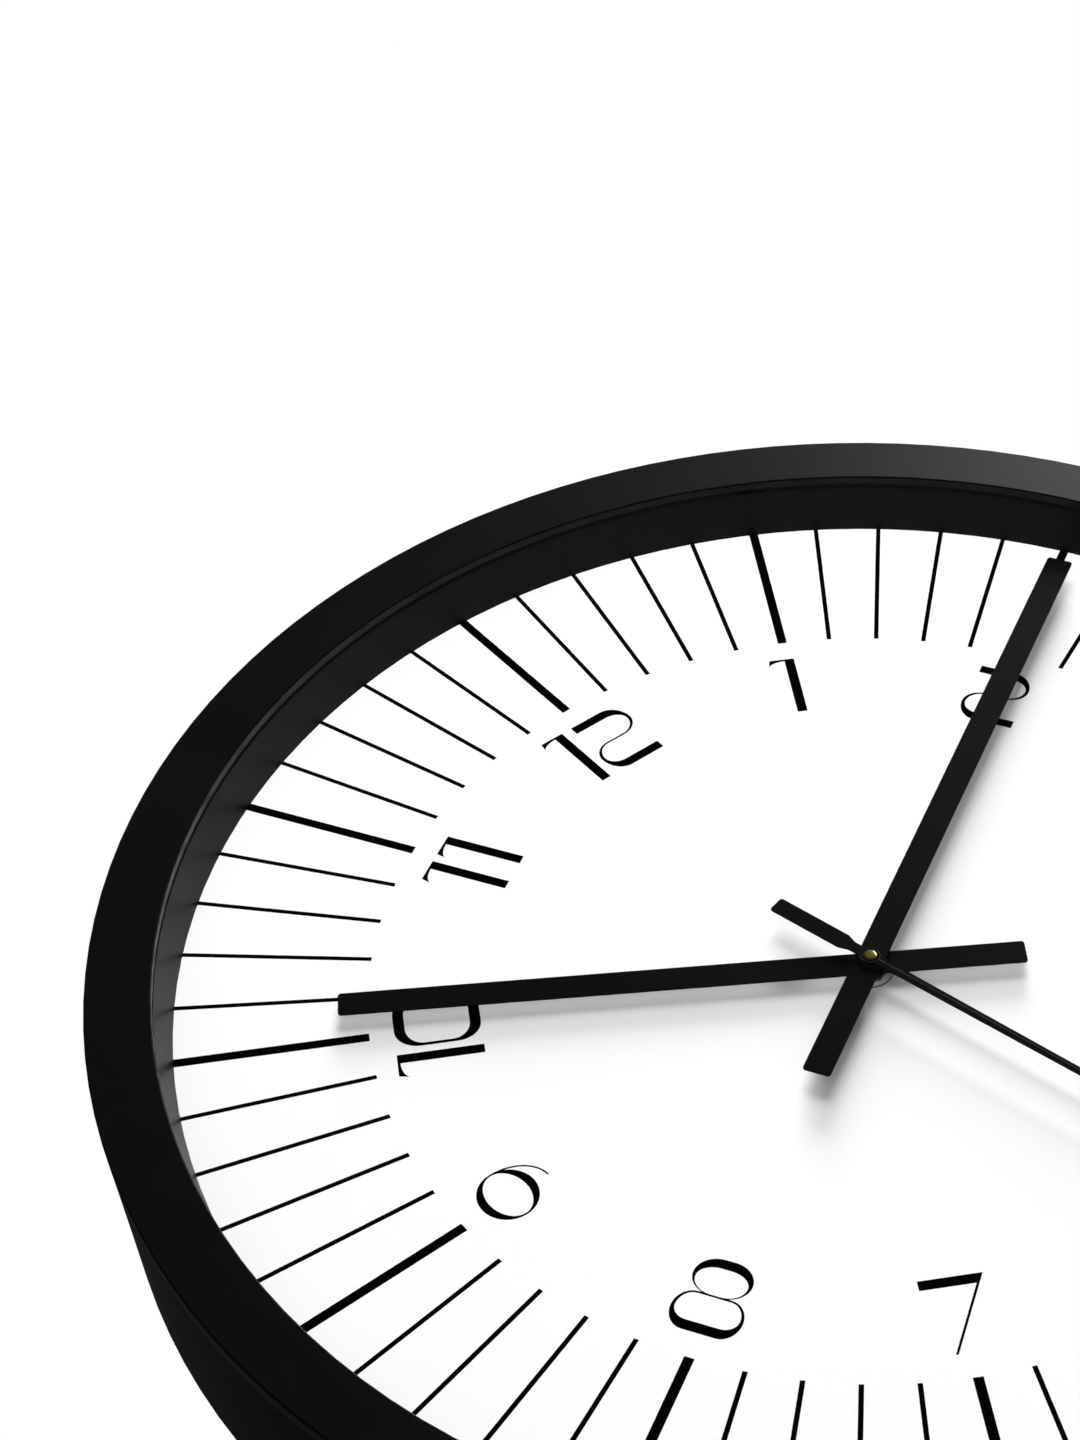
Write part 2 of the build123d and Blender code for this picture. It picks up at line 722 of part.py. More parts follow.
def make_intermediate_wheel():
    """Wheel driven by the rotor, with the pinion that drives the second wheel."""
    bottom = level(intermediate_wheel_level)
    top = level(second_wheel_level) + wheel_thickness + pinion_overhang
    phase = meshed_phase(rotor_pinion_teeth, intermediate_wheel_teeth, rotor_axis, intermediate_axis)
    wheel = toothed(intermediate_wheel_teeth, rotor_module, bottom, wheel_thickness, phase)
    pinion = toothed(intermediate_pinion_teeth, second_module, bottom, top - bottom)
    return place(wheel + pinion, intermediate_axis) + pivot(intermediate_axis)


def make_second_wheel():
    """Wheel and pinion pressed on the seconds arbor."""
    bottom = level(second_wheel_level)
    hub_bottom = floor_z + bearing_height + pivot_end_play
    pinion_top = level(minute_wheel_level) - wheel_gap
    phase = meshed_phase(intermediate_pinion_teeth, second_wheel_teeth, intermediate_axis, centre_axis)
    wheel = toothed(second_wheel_teeth, second_module, bottom, wheel_thickness, phase)
    pinion = toothed(second_pinion_teeth, third_module, bottom, pinion_top - bottom)
    hub = cylinder(arbor_diameter / 2 + hub_wall, hub_bottom, bottom)
    return wheel + pinion + hub - cylinder(arbor_diameter / 2 + seat_play, hub_bottom - 1, pinion_top + 1)


def make_second_arbor():
    """Steel arbor from the floor bearing to the second hand's cap."""
    top = second_hand_top_z + hub_above_hand - hub_wall_above_arbor
    return cylinder(arbor_diameter / 2, floor_z, top)


def make_third_wheel():
    """Wheel driven by the seconds pinion, with the pinion that drives the minute wheel."""
    bottom = level(third_wheel_level)
    top = level(minute_wheel_level) + wheel_thickness + pinion_overhang
    phase = meshed_phase(second_pinion_teeth, third_wheel_teeth, centre_axis, third_axis)
    wheel = toothed(third_wheel_teeth, third_module, bottom, wheel_thickness, phase)
    pinion = toothed(third_pinion_teeth, minute_module, bottom, top - bottom)
    return place(wheel + pinion, third_axis) + pivot(third_axis)


def make_minute_wheel():
    """Centre wheel, minute pinion and the tube that carries the minute hand."""
    bottom = level(minute_wheel_level)
    pinion_top = level(hour_wheel_level) - wheel_gap
    tube_top = dial_face_z + minute_hand_top + tube_above_hand
    phase = meshed_phase(third_pinion_teeth, minute_wheel_teeth, third_axis, centre_axis)
    wheel = toothed(minute_wheel_teeth, minute_module, bottom, wheel_thickness, phase)
    pinion = toothed(minute_pinion_teeth, transfer_module, bottom, pinion_top - bottom)
    shaft = cylinder(minute_tube_diameter / 2, bottom, tube_top)
    return wheel + pinion + shaft - cylinder(arbor_diameter / 2 + running_play, bottom - 1, tube_top + 1)


def make_transfer_wheel():
    """Minute-to-hour transfer wheel, whose arbor passes out of the back for setting."""
    bottom = level(transfer_wheel_level)
    top = level(hour_wheel_level) + wheel_thickness + pinion_overhang
    hub_bottom = floor_z + bearing_height + pivot_end_play
    phase = meshed_phase(minute_pinion_teeth, transfer_wheel_teeth, centre_axis, transfer_axis)
    wheel = toothed(transfer_wheel_teeth, transfer_module, bottom, wheel_thickness, phase)
    pinion = toothed(transfer_pinion_teeth, hour_module, bottom, top - bottom)
    hub = cylinder(transfer_pivot_diameter / 2 + transfer_hub_wall, hub_bottom, bottom)
    arbor_bottom = movement_back_z - knob_gap - knob_thickness + knob_face_wall
    arbor = cylinder(transfer_pivot_diameter / 2, arbor_bottom, ceiling_z)
    return place(wheel + pinion + hub + arbor, transfer_axis)


def make_setting_knob():
    """Fluted thumb wheel on the transfer wheel's arbor, behind the movement."""
    bottom = movement_back_z - knob_gap - knob_thickness
    top = movement_back_z - knob_gap
    knob = cylinder(knob_diameter / 2, bottom, top)
    flute = cylinder(knob_flute_radius, bottom - 1, top + 1, (knob_diameter / 2 + knob_flute_offset, 0))
    knob -= around(flute, knob_flutes)
    knob -= cylinder(transfer_pivot_diameter / 2 + seat_play, bottom + knob_face_wall, top + 1)
    return place(knob, transfer_axis)


def make_hour_wheel():
    """Hour wheel and the tube that carries the hour hand."""
    bottom = level(hour_wheel_level)
    hub_top = ceiling_z - bushing_flange_wall - wheel_gap
    tube_top = dial_face_z + hour_hand_top + tube_above_hand
    phase = meshed_phase(transfer_pinion_teeth, hour_wheel_teeth, transfer_axis, centre_axis)
    wheel = toothed(hour_wheel_teeth, hour_module, bottom, wheel_thickness, phase)
    hub = cylinder(hour_tube_diameter / 2 + hub_wall, bottom, hub_top)
    shaft = cylinder(hour_tube_diameter / 2, bottom, tube_top)
    bore = cylinder(minute_tube_diameter / 2 + running_play, bottom - 1, tube_top + 1)
    return wheel + hub + shaft - bore


# ---------------------------------------------------------------- motor and circuit
stator_left = coil_centre_x - coil_length / 2 - bobbin_flange_wall - stator_leg
stator_right = coil_centre_x + coil_length / 2 + bobbin_flange_wall + stator_leg
core_top_z = level(stator_level)
coil_z = core_top_z - core_thickness / 2
coil_centre_y = inner_half - coil_wall_gap - bobbin_flange_diameter / 2


def make_stator():
    """Soft-iron plate around the rotor magnet, with a leg up to each end of the coil's core."""
    bottom = level(stator_level)
    top = bottom + stator_thickness
    low = rotor_axis[1] - stator_bar / 2
    hole_radius = magnet_diameter / 2 + stator_hole_gap
    leg_top = coil_centre_y + core_height / 2 + stator_lap
    plate = block(stator_left, stator_right, low, low + stator_bar, bottom, top)
    plate += cylinder(hole_radius + stator_ring_wall, bottom, top, rotor_axis)
    plate += block(stator_left, stator_left + stator_leg, low, leg_top, bottom, top)
    plate += block(stator_right - stator_leg, stator_right, low, leg_top, bottom, top)
    return plate - cylinder(hole_radius, bottom - 1, top + 1, rotor_axis)


def along_x(radius, x0, x1, y, z):
    """Cylinder along x between two places."""
    return Pos((x0 + x1) / 2, y, z) * Rot(0, 90, 0) * Cylinder(radius, x1 - x0)


def make_coil_core():
    """Iron bar through the coil, which laps behind both stator legs."""
    y0 = coil_centre_y - core_height / 2
    y1 = coil_centre_y + core_height / 2
    x0 = stator_left + core_end_inset
    x1 = stator_right - core_end_inset
    return block(x0, x1, y0, y1, core_top_z - core_thickness, core_top_z)


def make_coil_bobbin():
    """Bobbin with two round flanges and a rectangular hole for the core."""
    x0 = coil_centre_x - coil_length / 2
    x1 = coil_centre_x + coil_length / 2
    tube_part = along_x(bobbin_tube_diameter / 2, x0, x1, coil_centre_y, coil_z)
    left = along_x(bobbin_flange_diameter / 2, x0 - bobbin_flange_wall, x0, coil_centre_y, coil_z)
    right = along_x(bobbin_flange_diameter / 2, x1, x1 + bobbin_flange_wall, coil_centre_y, coil_z)
    half_y = core_height / 2 + core_play
    half_z = core_thickness / 2 + core_play
    hole = Pos(coil_centre_x, coil_centre_y, coil_z) * Box(2 * coil_length, 2 * half_y, 2 * half_z)
    return tube_part + left + right - hole


def make_coil_winding():
    """Copper winding as one hollow cylinder between the flanges."""
    x0 = coil_centre_x - coil_length / 2
    x1 = coil_centre_x + coil_length / 2
    winding = along_x(winding_diameter / 2, x0, x1, coil_centre_y, coil_z)
    return winding - along_x(bobbin_tube_diameter / 2 + seat_play, x0 - 1, x1 + 1, coil_centre_y, coil_z)


board_right = inner_half - contact_gap - contact_thickness - contact_gap - board_gap
board_left = board_right - board_width
board_top_z = level(board_level) + board_thickness


def make_circuit_board():
    """Small circuit board on two posts of the movement's rear half."""
    return block(board_left, board_right, board_bottom, board_bottom + board_height,
                 level(board_level), board_top_z)


def make_quartz_crystal():
    """Cylindrical quartz crystal can lying on the board."""
    radius = crystal_diameter / 2
    x = board_left + board_width / 2
    y = board_bottom + board_height * crystal_share
    can = Pos(x, y, board_top_z + radius) * Rot(90, 0, 0) * Cylinder(radius, crystal_length)
    return chamfer(can.edges().filter_by(GeomType.CIRCLE).sort_by(Axis.Y)[-1], crystal_edge)


def make_driver_chip():
    """Resin dome over the driver chip."""
    centre = (board_left + board_width / 2, board_bottom + board_height * chip_share)
    dome = cylinder(chip_diameter / 2, board_top_z, board_top_z + chip_height, centre)
    rim = dome.edges().filter_by(GeomType.CIRCLE).sort_by(Axis.Z)[-1]
    return chamfer(rim, chip_edge)


# ---------------------------------------------------------------- battery and contacts
def lead_z():
    """Lower and upper edge of the contact leads."""
    return level(lead_level), level(lead_level) + lead_width


def make_positive_contact():
    """Flat plate at the battery's nub, with a lead up to the board's side."""
    x1 = inner_half - contact_gap
    x0 = x1 - contact_thickness
    y0 = battery_y - contact_width / 2
    z0, z1 = lead_z()
    plate = block(x0, x1, y0, y0 + contact_width, level(contact_bottom_level), ceiling_z - contact_top_gap)
    return plate + block(x0, x1, battery_y, board_bottom + lead_lap, z0, z1)


def make_negative_contact():
    """Plate with a bowed spring tongue, and a lead round the bay wall to the board."""
    x0 = -inner_half + contact_gap
    x1 = x0 + contact_thickness
    y0 = battery_y - contact_width / 2
    z0, z1 = lead_z()
    plate = block(x0, x1, y0, y0 + contact_width, level(contact_bottom_level), ceiling_z - contact_top_gap)
    crest = battery_left - tongue_gap
    inner = tongue_span / 2
    outer = inner + tongue_foot
    inner_crest = crest - contact_thickness
    bow = ThreePointArc((x1, battery_y - inner), (inner_crest, battery_y), (x1, battery_y + inner))
    back = ThreePointArc((x1, battery_y - outer), (crest, battery_y), (x1, battery_y + outer))
    first_foot = Line((x1, battery_y - inner), (x1, battery_y - outer))
    second_foot = Line((x1, battery_y + inner), (x1, battery_y + outer))
    tongue_face = make_face([bow, back, first_foot, second_foot])
    tongue = Pos(0, 0, battery_z - tongue_width / 2) * extrude(tongue_face, tongue_width)
    lead_y = bay_top + bay_wall + lead_wall_gap
    lead = block(x0, x1, battery_y, lead_y + contact_thickness, z0, z1)
    lead_end = board_left + board_width / 2
    lead += block(x0, lead_end, lead_y, lead_y + contact_thickness, z0, z1)
    lead += block(lead_end - contact_thickness, lead_end, lead_y, board_bottom - board_gap, z0, z1)
    return plate + tongue + lead


def make_battery_cell():
    """AA-size cell: can, nub and the flat of the other end."""
    shoulder = battery_right - battery_nub_length
    can = along_x(battery_radius, battery_left, shoulder, battery_y, battery_z)
    can = chamfer(can.edges().filter_by(GeomType.CIRCLE), battery_edge)
    nub = along_x(battery_nub_diameter / 2, shoulder - battery_edge, battery_right, battery_y, battery_z)
    return can + nub


makers = {
    "case_ring": make_case_ring,
    "clear_lens": make_clear_lens,
    "inner_ring": make_inner_ring,
    "dial_plate": make_dial_plate,
    "rear_cover": make_rear_cover,
    "movement_well": make_movement_well,
    "press_ring": make_press_ring,
    "rear_cover_screws": make_rear_cover_screws,
    "movement_front_case": make_movement_front_case,
    "movement_rear_case": make_movement_rear_case,
    "threaded_bushing": make_threaded_bushing,
    "dial_gasket": make_dial_gasket,
    "dial_washer": make_dial_washer,
    "hex_nut": make_hex_nut,
    "hour_hand": make_hour_hand,
    "minute_hand": make_minute_hand,
    "second_hand": make_second_hand,
    "second_hand_hub": make_second_hand_hub,
    "rotor_pinion": make_rotor_pinion,
    "rotor_magnet": make_rotor_magnet,
    "intermediate_wheel": make_intermediate_wheel,
    "second_wheel": make_second_wheel,
    "second_arbor": make_second_arbor,
    "third_wheel": make_third_wheel,
    "minute_wheel": make_minute_wheel,
    "transfer_wheel": make_transfer_wheel,
    "setting_knob": make_setting_knob,
    "hour_wheel": make_hour_wheel,
    "stator": make_stator,
    "coil_core": make_coil_core,
    "coil_bobbin": make_coil_bobbin,
    "coil_winding": make_coil_winding,
    "circuit_board": make_circuit_board,
    "quartz_crystal": make_quartz_crystal,
    "driver_chip": make_driver_chip,
    "positive_contact": make_positive_contact,
    "negative_contact": make_negative_contact,
    "battery_cell": make_battery_cell,
}


def export_all():
    """Stand every piece up as the clock hangs and write one STEP file per piece."""
    os.makedirs("parts", exist_ok=True)
    stand_up = Rot(90, 0, 0)
    for name, make in makers.items():
        export_step(stand_up * make(), f"parts/{name}.step")


export_all()
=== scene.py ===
"""Studio scene of a round black wall clock with a white dial and bar hands."""

import logging
import math
from dataclasses import dataclass, field
from enum import Enum
from typing import Callable, Iterable

import bpy
from mathutils import Euler, Matrix, Vector


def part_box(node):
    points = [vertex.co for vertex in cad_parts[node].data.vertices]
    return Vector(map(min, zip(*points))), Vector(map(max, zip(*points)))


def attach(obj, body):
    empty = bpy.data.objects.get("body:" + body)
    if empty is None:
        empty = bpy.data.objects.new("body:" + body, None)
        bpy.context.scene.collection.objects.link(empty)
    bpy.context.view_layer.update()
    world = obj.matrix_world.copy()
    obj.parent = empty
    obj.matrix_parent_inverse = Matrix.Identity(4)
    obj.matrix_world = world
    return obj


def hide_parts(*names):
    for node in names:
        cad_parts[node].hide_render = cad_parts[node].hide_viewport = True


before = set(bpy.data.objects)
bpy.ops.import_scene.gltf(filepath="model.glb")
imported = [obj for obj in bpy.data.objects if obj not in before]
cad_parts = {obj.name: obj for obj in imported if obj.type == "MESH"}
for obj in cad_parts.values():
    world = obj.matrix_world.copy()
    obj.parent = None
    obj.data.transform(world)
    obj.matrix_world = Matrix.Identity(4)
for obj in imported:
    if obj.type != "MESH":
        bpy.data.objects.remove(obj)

logging.basicConfig(level=logging.INFO, format="%(message)s")
log = logging.getLogger("clock")

MM = 0.001
DEGREES_PER_MINUTE = 6.0
DEGREES_PER_HOUR = 30.0
ROUND_SIDES = 64
Pair = Point = tuple[float, float]
Triple = tuple[float, float, float]
Colour = tuple[float, float, float, float]
Piece = bpy.types.Object
Socket = bpy.types.NodeSocket


class Body(str, Enum):
    """Rigid bodies of the clock that pieces ride on."""

    CASE = "case"
    SECONDS = "second_train"
    KNOB = "transfer"
    BATTERY = "battery"


# ---------------------------------------------------------------- finishes
class Nodes:
    """Small helper round a material's node tree.

    Args:
        name: Name of the new material.
    """

    ramp_ends = (0.3, 0.7)

    def __init__(self, name: str) -> None:
        """Start the material with its shader and its object coordinates."""
        self.material = bpy.data.materials.new(name)
        self.material.use_nodes = True
        self.tree = self.material.node_tree
        self.shader = self.tree.nodes["Principled BSDF"]
        self.place = self.tree.nodes.new("ShaderNodeTexCoord").outputs["Object"]

    def add(self, kind: str, **settings: object) -> bpy.types.Node:
        """Add a node.

        Args:
            kind: Node type without its "ShaderNode" prefix.
            **settings: Attributes, or input values by socket name.

        Returns:
            The new node.
        """
        node = self.tree.nodes.new("ShaderNode" + kind)
        for key, value in settings.items():
            if hasattr(node, key):
                setattr(node, key, value)
            else:
                node.inputs[key.replace("_", " ")].default_value = value
        return node

    def link(self, source: Socket, target: Socket) -> None:
        """Join two sockets."""
        self.tree.links.new(source, target)

    def noise(self, scale: float, detail: float = 4.0) -> Socket:
        """Noise over the object's own coordinates.

        Args:
            scale: Cells per metre.
            detail: Octaves of finer noise.

        Returns:
            The noise's factor.
        """
        node = self.add("TexNoise", Scale=scale, Detail=detail)
        self.link(self.place, node.inputs["Vector"])
        return node.outputs["Fac"]

    def spread(self, source: Socket, low: float, high: float) -> Socket:
        """Map a 0 to 1 factor to a range.

        Args:
            source: Factor from 0 to 1.
            low: Value at 0.
            high: Value at 1.

        Returns:
            The value.
        """
        node = self.add("MapRange", To_Min=low, To_Max=high)
        self.link(source, node.inputs["Value"])
        return node.outputs["Result"]

    def tint(self, source: Socket, low: Colour, high: Colour) -> Socket:
        """Map a factor to a colour between two.

        Args:
            source: Factor from 0 to 1.
            low: Colour at the lower of the ramp's ends and below.
            high: Colour at the upper of the ramp's ends and above.

        Returns:
            The colour.
        """
        node = self.add("ValToRGB")
        ramp = node.color_ramp.elements
        for stop, position, colour in zip(ramp, self.ramp_ends, (low, high)):
            stop.position, stop.color = position, colour
        self.link(source, node.inputs["Fac"])
        return node.outputs["Color"]

    def radius(self) -> Socket:
        """Distance from the hands' axis, in metres.

        Returns:
            The distance.
        """
        flat = self.add("VectorMath", operation="MULTIPLY")
        flat.inputs[1].default_value = (1, 0, 1)
        self.link(self.place, flat.inputs[0])
        length = self.add("VectorMath", operation="LENGTH")
        self.link(flat.outputs["Vector"], length.inputs[0])
        return length.outputs["Value"]

    def along(self, axis: str) -> Socket:
        """Place along an axis, "X", "Y" or "Z", in metres.

        Args:
            axis: Name of the axis.

        Returns:
            The place.
        """
        parts = self.add("SeparateXYZ")
        self.link(self.place, parts.inputs["Vector"])
        return parts.outputs[axis]

    def step(self, source: Socket, at: float, blur: float, low: float = 0.0, high: float = 1.0) -> Socket:
        """Change from one value to another where a source passes a limit.

        Args:
            source: What is compared, in metres.
            at: Limit in millimetres.
            blur: Width of the change in millimetres.
            low: Value below the limit.
            high: Value above the limit.

        Returns:
            The value.
        """
        node = self.add("MapRange", From_Min=(at - blur / 2) * MM, From_Max=(at + blur / 2) * MM,
                        To_Min=low, To_Max=high)
        self.link(source, node.inputs["Value"])
        return node.outputs["Result"]

    def blend(self, factor: Socket, first: Socket | Colour, second: Socket | Colour) -> Socket:
        """Mix two colours by a factor.

        Args:
            factor: Share of the second colour.
            first: Colour at 0.
            second: Colour at 1.

        Returns:
            The mixed colour.
        """
        node = self.add("Mix", data_type="RGBA")
        self.link(factor, node.inputs["Factor"])
        for socket, colour in ((node.inputs[6], first), (node.inputs[7], second)):
            if isinstance(colour, tuple):
                socket.default_value = colour
            else:
                self.link(colour, socket)
        return node.outputs[2]

    def bump(self, height: Socket, strength: float, distance: float) -> None:
        """Relief from a height factor.

        Args:
            height: Factor that stands for the height.
            strength: Share of the relief that shows.
            distance: Height of the relief in metres.
        """
        node = self.add("Bump", Strength=strength, Distance=distance)
        self.link(height, node.inputs["Height"])
        self.link(node.outputs["Normal"], self.shader.inputs["Normal"])


def grey(value: float, warmth: float = 0.0) -> Colour:
    """Grey of a linear value, warmed or cooled a little."""
    return (value * (1 + warmth), value, value * (1 - warmth), 1.0)


@dataclass(frozen=True)
class Finish:
    """Surface with a little drift in its colour and gloss, and a fine relief.

    Attributes:
        name: Name of the material.
        dark: Darker end of the colour drift.
        light: Lighter end of the colour drift.
        rough: Lowest and highest roughness.
        metal: Metallic share.
        specular: Specular level of the shader.
        drift: Cells of colour drift per metre.
        grain: Cells of relief per metre.
        relief: Height of the relief in metres.
        coat: Weight of the clear coat.
        strength: Share of the relief that shows.
        detail: Octaves of finer relief.
        gloss_drift: Cells of gloss drift for each cell of colour drift.
    """

    name: str
    dark: Colour
    light: Colour
    rough: Pair
    metal: float = 0.0
    specular: float = 0.5
    drift: float = 40.0
    grain: float = 2500.0
    relief: float = 0.00002
    coat: float = 0.0
    strength: float = 0.35
    detail: float = 2.0
    gloss_drift: float = 3.0

    def build(self) -> bpy.types.Material:
        """Make the material.

        Returns:
            The new material.
        """
        nodes = Nodes(self.name)
        shader = nodes.shader.inputs
        shader["Metallic"].default_value = self.metal
        shader["Specular IOR Level"].default_value = self.specular
        shader["Coat Weight"].default_value = self.coat
        nodes.link(self.colour(nodes), shader["Base Color"])
        gloss = nodes.noise(self.drift * self.gloss_drift)
        nodes.link(nodes.spread(gloss, *self.rough), shader["Roughness"])
        self.texture(nodes)
        return nodes.material

    def colour(self, nodes: Nodes) -> Socket:
        """Drift between the dark and the light colour."""
        return nodes.tint(nodes.noise(self.drift), self.dark, self.light)

    def texture(self, nodes: Nodes) -> None:
        """Add the fine relief."""
        nodes.bump(nodes.noise(self.grain, self.detail), self.strength, self.relief)


@dataclass(frozen=True)
class MouldedFlange(Finish):
    """Moulding whose outside is satin and whose inner lip is duller.

    Attributes:
        lip_radius: Radius where the satin face starts, in millimetres.
        lip_specular: Specular level of the lip.
        rim_place: Where the face's rim ends and the skirt starts, along y in millimetres.
        skirt_specular: Specular level of the skirt.
        skirt_tone: Grey of the skirt.
        blur: Width of the change between them, in millimetres.
    """

    lip_radius: float = 140.75
    lip_specular: float = 0.1
    rim_place: float = -35.2
    skirt_specular: float = 0.05
    skirt_tone: float = 0.006
    blur: float = 0.2

    def colour(self, nodes: Nodes) -> Socket:
        """Face and rim in the deep black, the skirt a little greyer."""
        skirt = nodes.step(nodes.along("Y"), self.rim_place, self.blur)
        return nodes.blend(skirt, super().colour(nodes), grey(self.skirt_tone))

    def texture(self, nodes: Nodes) -> None:
        """Add the relief and dull the lip and the skirt.

        Args:
            nodes: Node tree of the material.
        """
        super().texture(nodes)
        shine = nodes.add("Math", operation="MINIMUM")
        lip = nodes.step(nodes.radius(), self.lip_radius, self.blur, self.lip_specular, self.specular)
        skirt = nodes.step(nodes.along("Y"), self.rim_place, self.blur, self.specular,
                           self.skirt_specular)
        nodes.link(lip, shine.inputs[0])
        nodes.link(skirt, shine.inputs[1])
        nodes.link(shine.outputs["Value"], nodes.shader.inputs["Specular IOR Level"])


@dataclass(frozen=True)
class PunchedSheet(Finish):
    """Plain washer with a darker rim, which is painted shade along its outer edge.

    Attributes:
        rim_radius: Radius where the rim of painted edge shade starts, in millimetres.
        rim: Colour of the painted edge shade.
        blur: Width of the change between them, in millimetres.
    """

    rim_radius: float = 4.75
    # The rim's colour is painted shade along the washer's outer edge.
    rim: Colour = (0.17, 0.17, 0.17, 1)
    blur: float = 0.1

    def colour(self, nodes: Nodes) -> Socket:
        """Plain face and a dark rim of painted edge shade."""
        # Mask of the painted edge shade near the washer's outer edge.
        rim = nodes.step(nodes.radius(), self.rim_radius, self.blur)
        return nodes.blend(rim, super().colour(nodes), self.rim)


@dataclass(frozen=True)
class WheelOnTube(Finish):
    """Moulded wheel on a brass tube.

    Attributes:
        tube_radius: Radius of the tube, in millimetres.
        brass: Colour of the tube.
        blur: Width of the change between them, in millimetres.
    """

    tube_radius: float = 1.56
    brass: Colour = (0.36, 0.33, 0.08, 1)
    blur: float = 0.03

    def colour(self, nodes: Nodes) -> Socket:
        """Brass near the hands' axis, and the moulding outside it.

        Args:
            nodes: Node tree of the material.

        Returns:
            The colour.
        """
        moulded = nodes.step(nodes.radius(), self.tube_radius, self.blur)
        metallic = nodes.step(nodes.radius(), self.tube_radius, self.blur, 1.0, 0.0)
        nodes.link(metallic, nodes.shader.inputs["Metallic"])
        return nodes.blend(moulded, self.brass, super().colour(nodes))


@dataclass(frozen=True)
class PrintedSleeve(Finish):
    """Battery sleeve with a plain pale band near the positive end and a thin line beside it.

    Attributes:
        band: Start and end of the band along x, in millimetres.
        line: Start and end of the line.
        pale: Colour of both.
        blur: Width of their edges, in millimetres.
    """

    band: Pair = (11.0, 21.0)
    line: Pair = (8.6, 9.4)
    pale: Colour = (0.42, 0.43, 0.44, 1)
    blur: float = 0.05

    def colour(self, nodes: Nodes) -> Socket:
        """Sleeve colour with the band and the line.

        Args:
            nodes: Node tree of the material.

        Returns:
            The colour.
        """
        shown: Socket | Colour = super().colour(nodes)
        for start, end in (self.band, self.line):
            here = nodes.add("Math", operation="MULTIPLY")
            nodes.link(nodes.step(nodes.along("X"), start, self.blur), here.inputs[0])
            nodes.link(nodes.step(nodes.along("X"), end, self.blur, 1.0, 0.0), here.inputs[1])
            shown = nodes.blend(here.outputs["Value"], shown, self.pale)
        return shown


@dataclass(frozen=True)
class TurnedMetal(Finish):
    """Metal with fine rings round the hands' axis, as left by a lathe or a punch.

    Attributes:
        wobble: Unevenness of the rings.
    """

    strength: float = 0.25
    wobble: float = 1.5

    def texture(self, nodes: Nodes) -> None:
        """Add rings about the hands' axis.

        Args:
            nodes: Node tree of the material.
        """
        wave = nodes.add("TexWave", wave_type="RINGS", rings_direction="Y", Scale=self.grain,
                         Distortion=self.wobble)
        nodes.link(nodes.place, wave.inputs["Vector"])
        nodes.bump(wave.outputs["Fac"], self.strength, self.relief)


@dataclass(frozen=True)
class RolledMetal(Finish):
    """Sheet metal with fine lines along x from the rolls.

    Attributes:
        stretch: Scale of the noise, drawn out along x.
    """

    strength: float = 0.3
    detail: float = 3.0
    stretch: Triple = (0.05, 1.0, 1.0)

    def texture(self, nodes: Nodes) -> None:
        """Add lines along x.

        Args:
            nodes: Node tree of the material.
        """
        drawn = nodes.add("Mapping")
        drawn.inputs["Scale"].default_value = self.stretch
        nodes.link(nodes.place, drawn.inputs["Vector"])
        noise = nodes.add("TexNoise", Scale=self.grain, Detail=self.detail)
        nodes.link(drawn.outputs["Vector"], noise.inputs["Vector"])
        nodes.bump(noise.outputs["Fac"], self.strength, self.relief)


@dataclass(frozen=True)
class WoundWire(Finish):
    """Turns of fine enamelled wire side by side along x.

    Attributes:
        wobble: Unevenness of the turns.
    """

    strength: float = 0.8
    wobble: float = 0.4

    def texture(self, nodes: Nodes) -> None:
        """Add one ridge for each turn.

        Args:
            nodes: Node tree of the material.
        """
        wave = nodes.add("TexWave", wave_type="BANDS", bands_direction="X", Scale=self.grain,
                         Distortion=self.wobble)
        nodes.link(nodes.place, wave.inputs["Vector"])
        nodes.bump(wave.outputs["Fac"], self.strength, self.relief)


@dataclass(frozen=True)
class ClearSheet:
    """Clear polished sheet, almost invisible straight on.

    Attributes:
        name: Name of the material.
        alpha: How much of the sheet's own surface shows.
        refraction: Refractive index.
        tones: Darker and lighter end of its grey.
        rough: Lowest and highest roughness.
        cells: Cells of the grey's drift, of the gloss and of the ripple, per metre.
        ripple: Share of the ripple that shows, and its height in metres.
    """

    name: str
    alpha: float = 0.012
    refraction: float = 1.49
    tones: tuple[Colour, Colour] = (grey(0.004), grey(0.008))
    rough: Pair = (0.02, 0.06)
    cells: Triple = (12.0, 30.0, 8.0)
    ripple: Pair = (0.05, 0.00005)

    def build(self) -> bpy.types.Material:
        """Make the material.

        Returns:
            The new material.
        """
        nodes = Nodes(self.name)
        shader = nodes.shader.inputs
        shader["Alpha"].default_value = self.alpha
        shader["IOR"].default_value = self.refraction
        tone, gloss, wave = self.cells
        nodes.link(nodes.tint(nodes.noise(tone), *self.tones), shader["Base Color"])
        nodes.link(nodes.spread(nodes.noise(gloss), *self.rough), shader["Roughness"])
        nodes.bump(nodes.noise(wave, 1.0), *self.ripple)
        return nodes.material


CASE_BLACK = MouldedFlange("case_black_satin", grey(0.0015), grey(0.0022), (0.3, 0.36), specular=0.3,
                           drift=18.0, grain=2600.0, relief=0.000012)
RING_BLACK = Finish("ring_black_satin", grey(0.0035), grey(0.0045), (0.4, 0.48), specular=0.1, drift=18.0)
COVER_BLACK = Finish("cover_black_plastic", grey(0.012), grey(0.017), (0.5, 0.62), grain=1800.0,
                     relief=0.00004)
MOVEMENT_BLACK = Finish("movement_black_plastic", grey(0.016), grey(0.022), (0.45, 0.6), grain=3200.0)
DIAL_WHITE = Finish("dial_white_card", grey(0.90), grey(0.93), (0.55, 0.65), specular=0.2, drift=9.0,
                    grain=1500.0, relief=0.000006)
HAND_RAISED = Finish("hand_black_raised", grey(0.006), grey(0.008), (0.2, 0.26), specular=0.4, drift=60.0,
                     grain=4000.0, relief=0.000004)
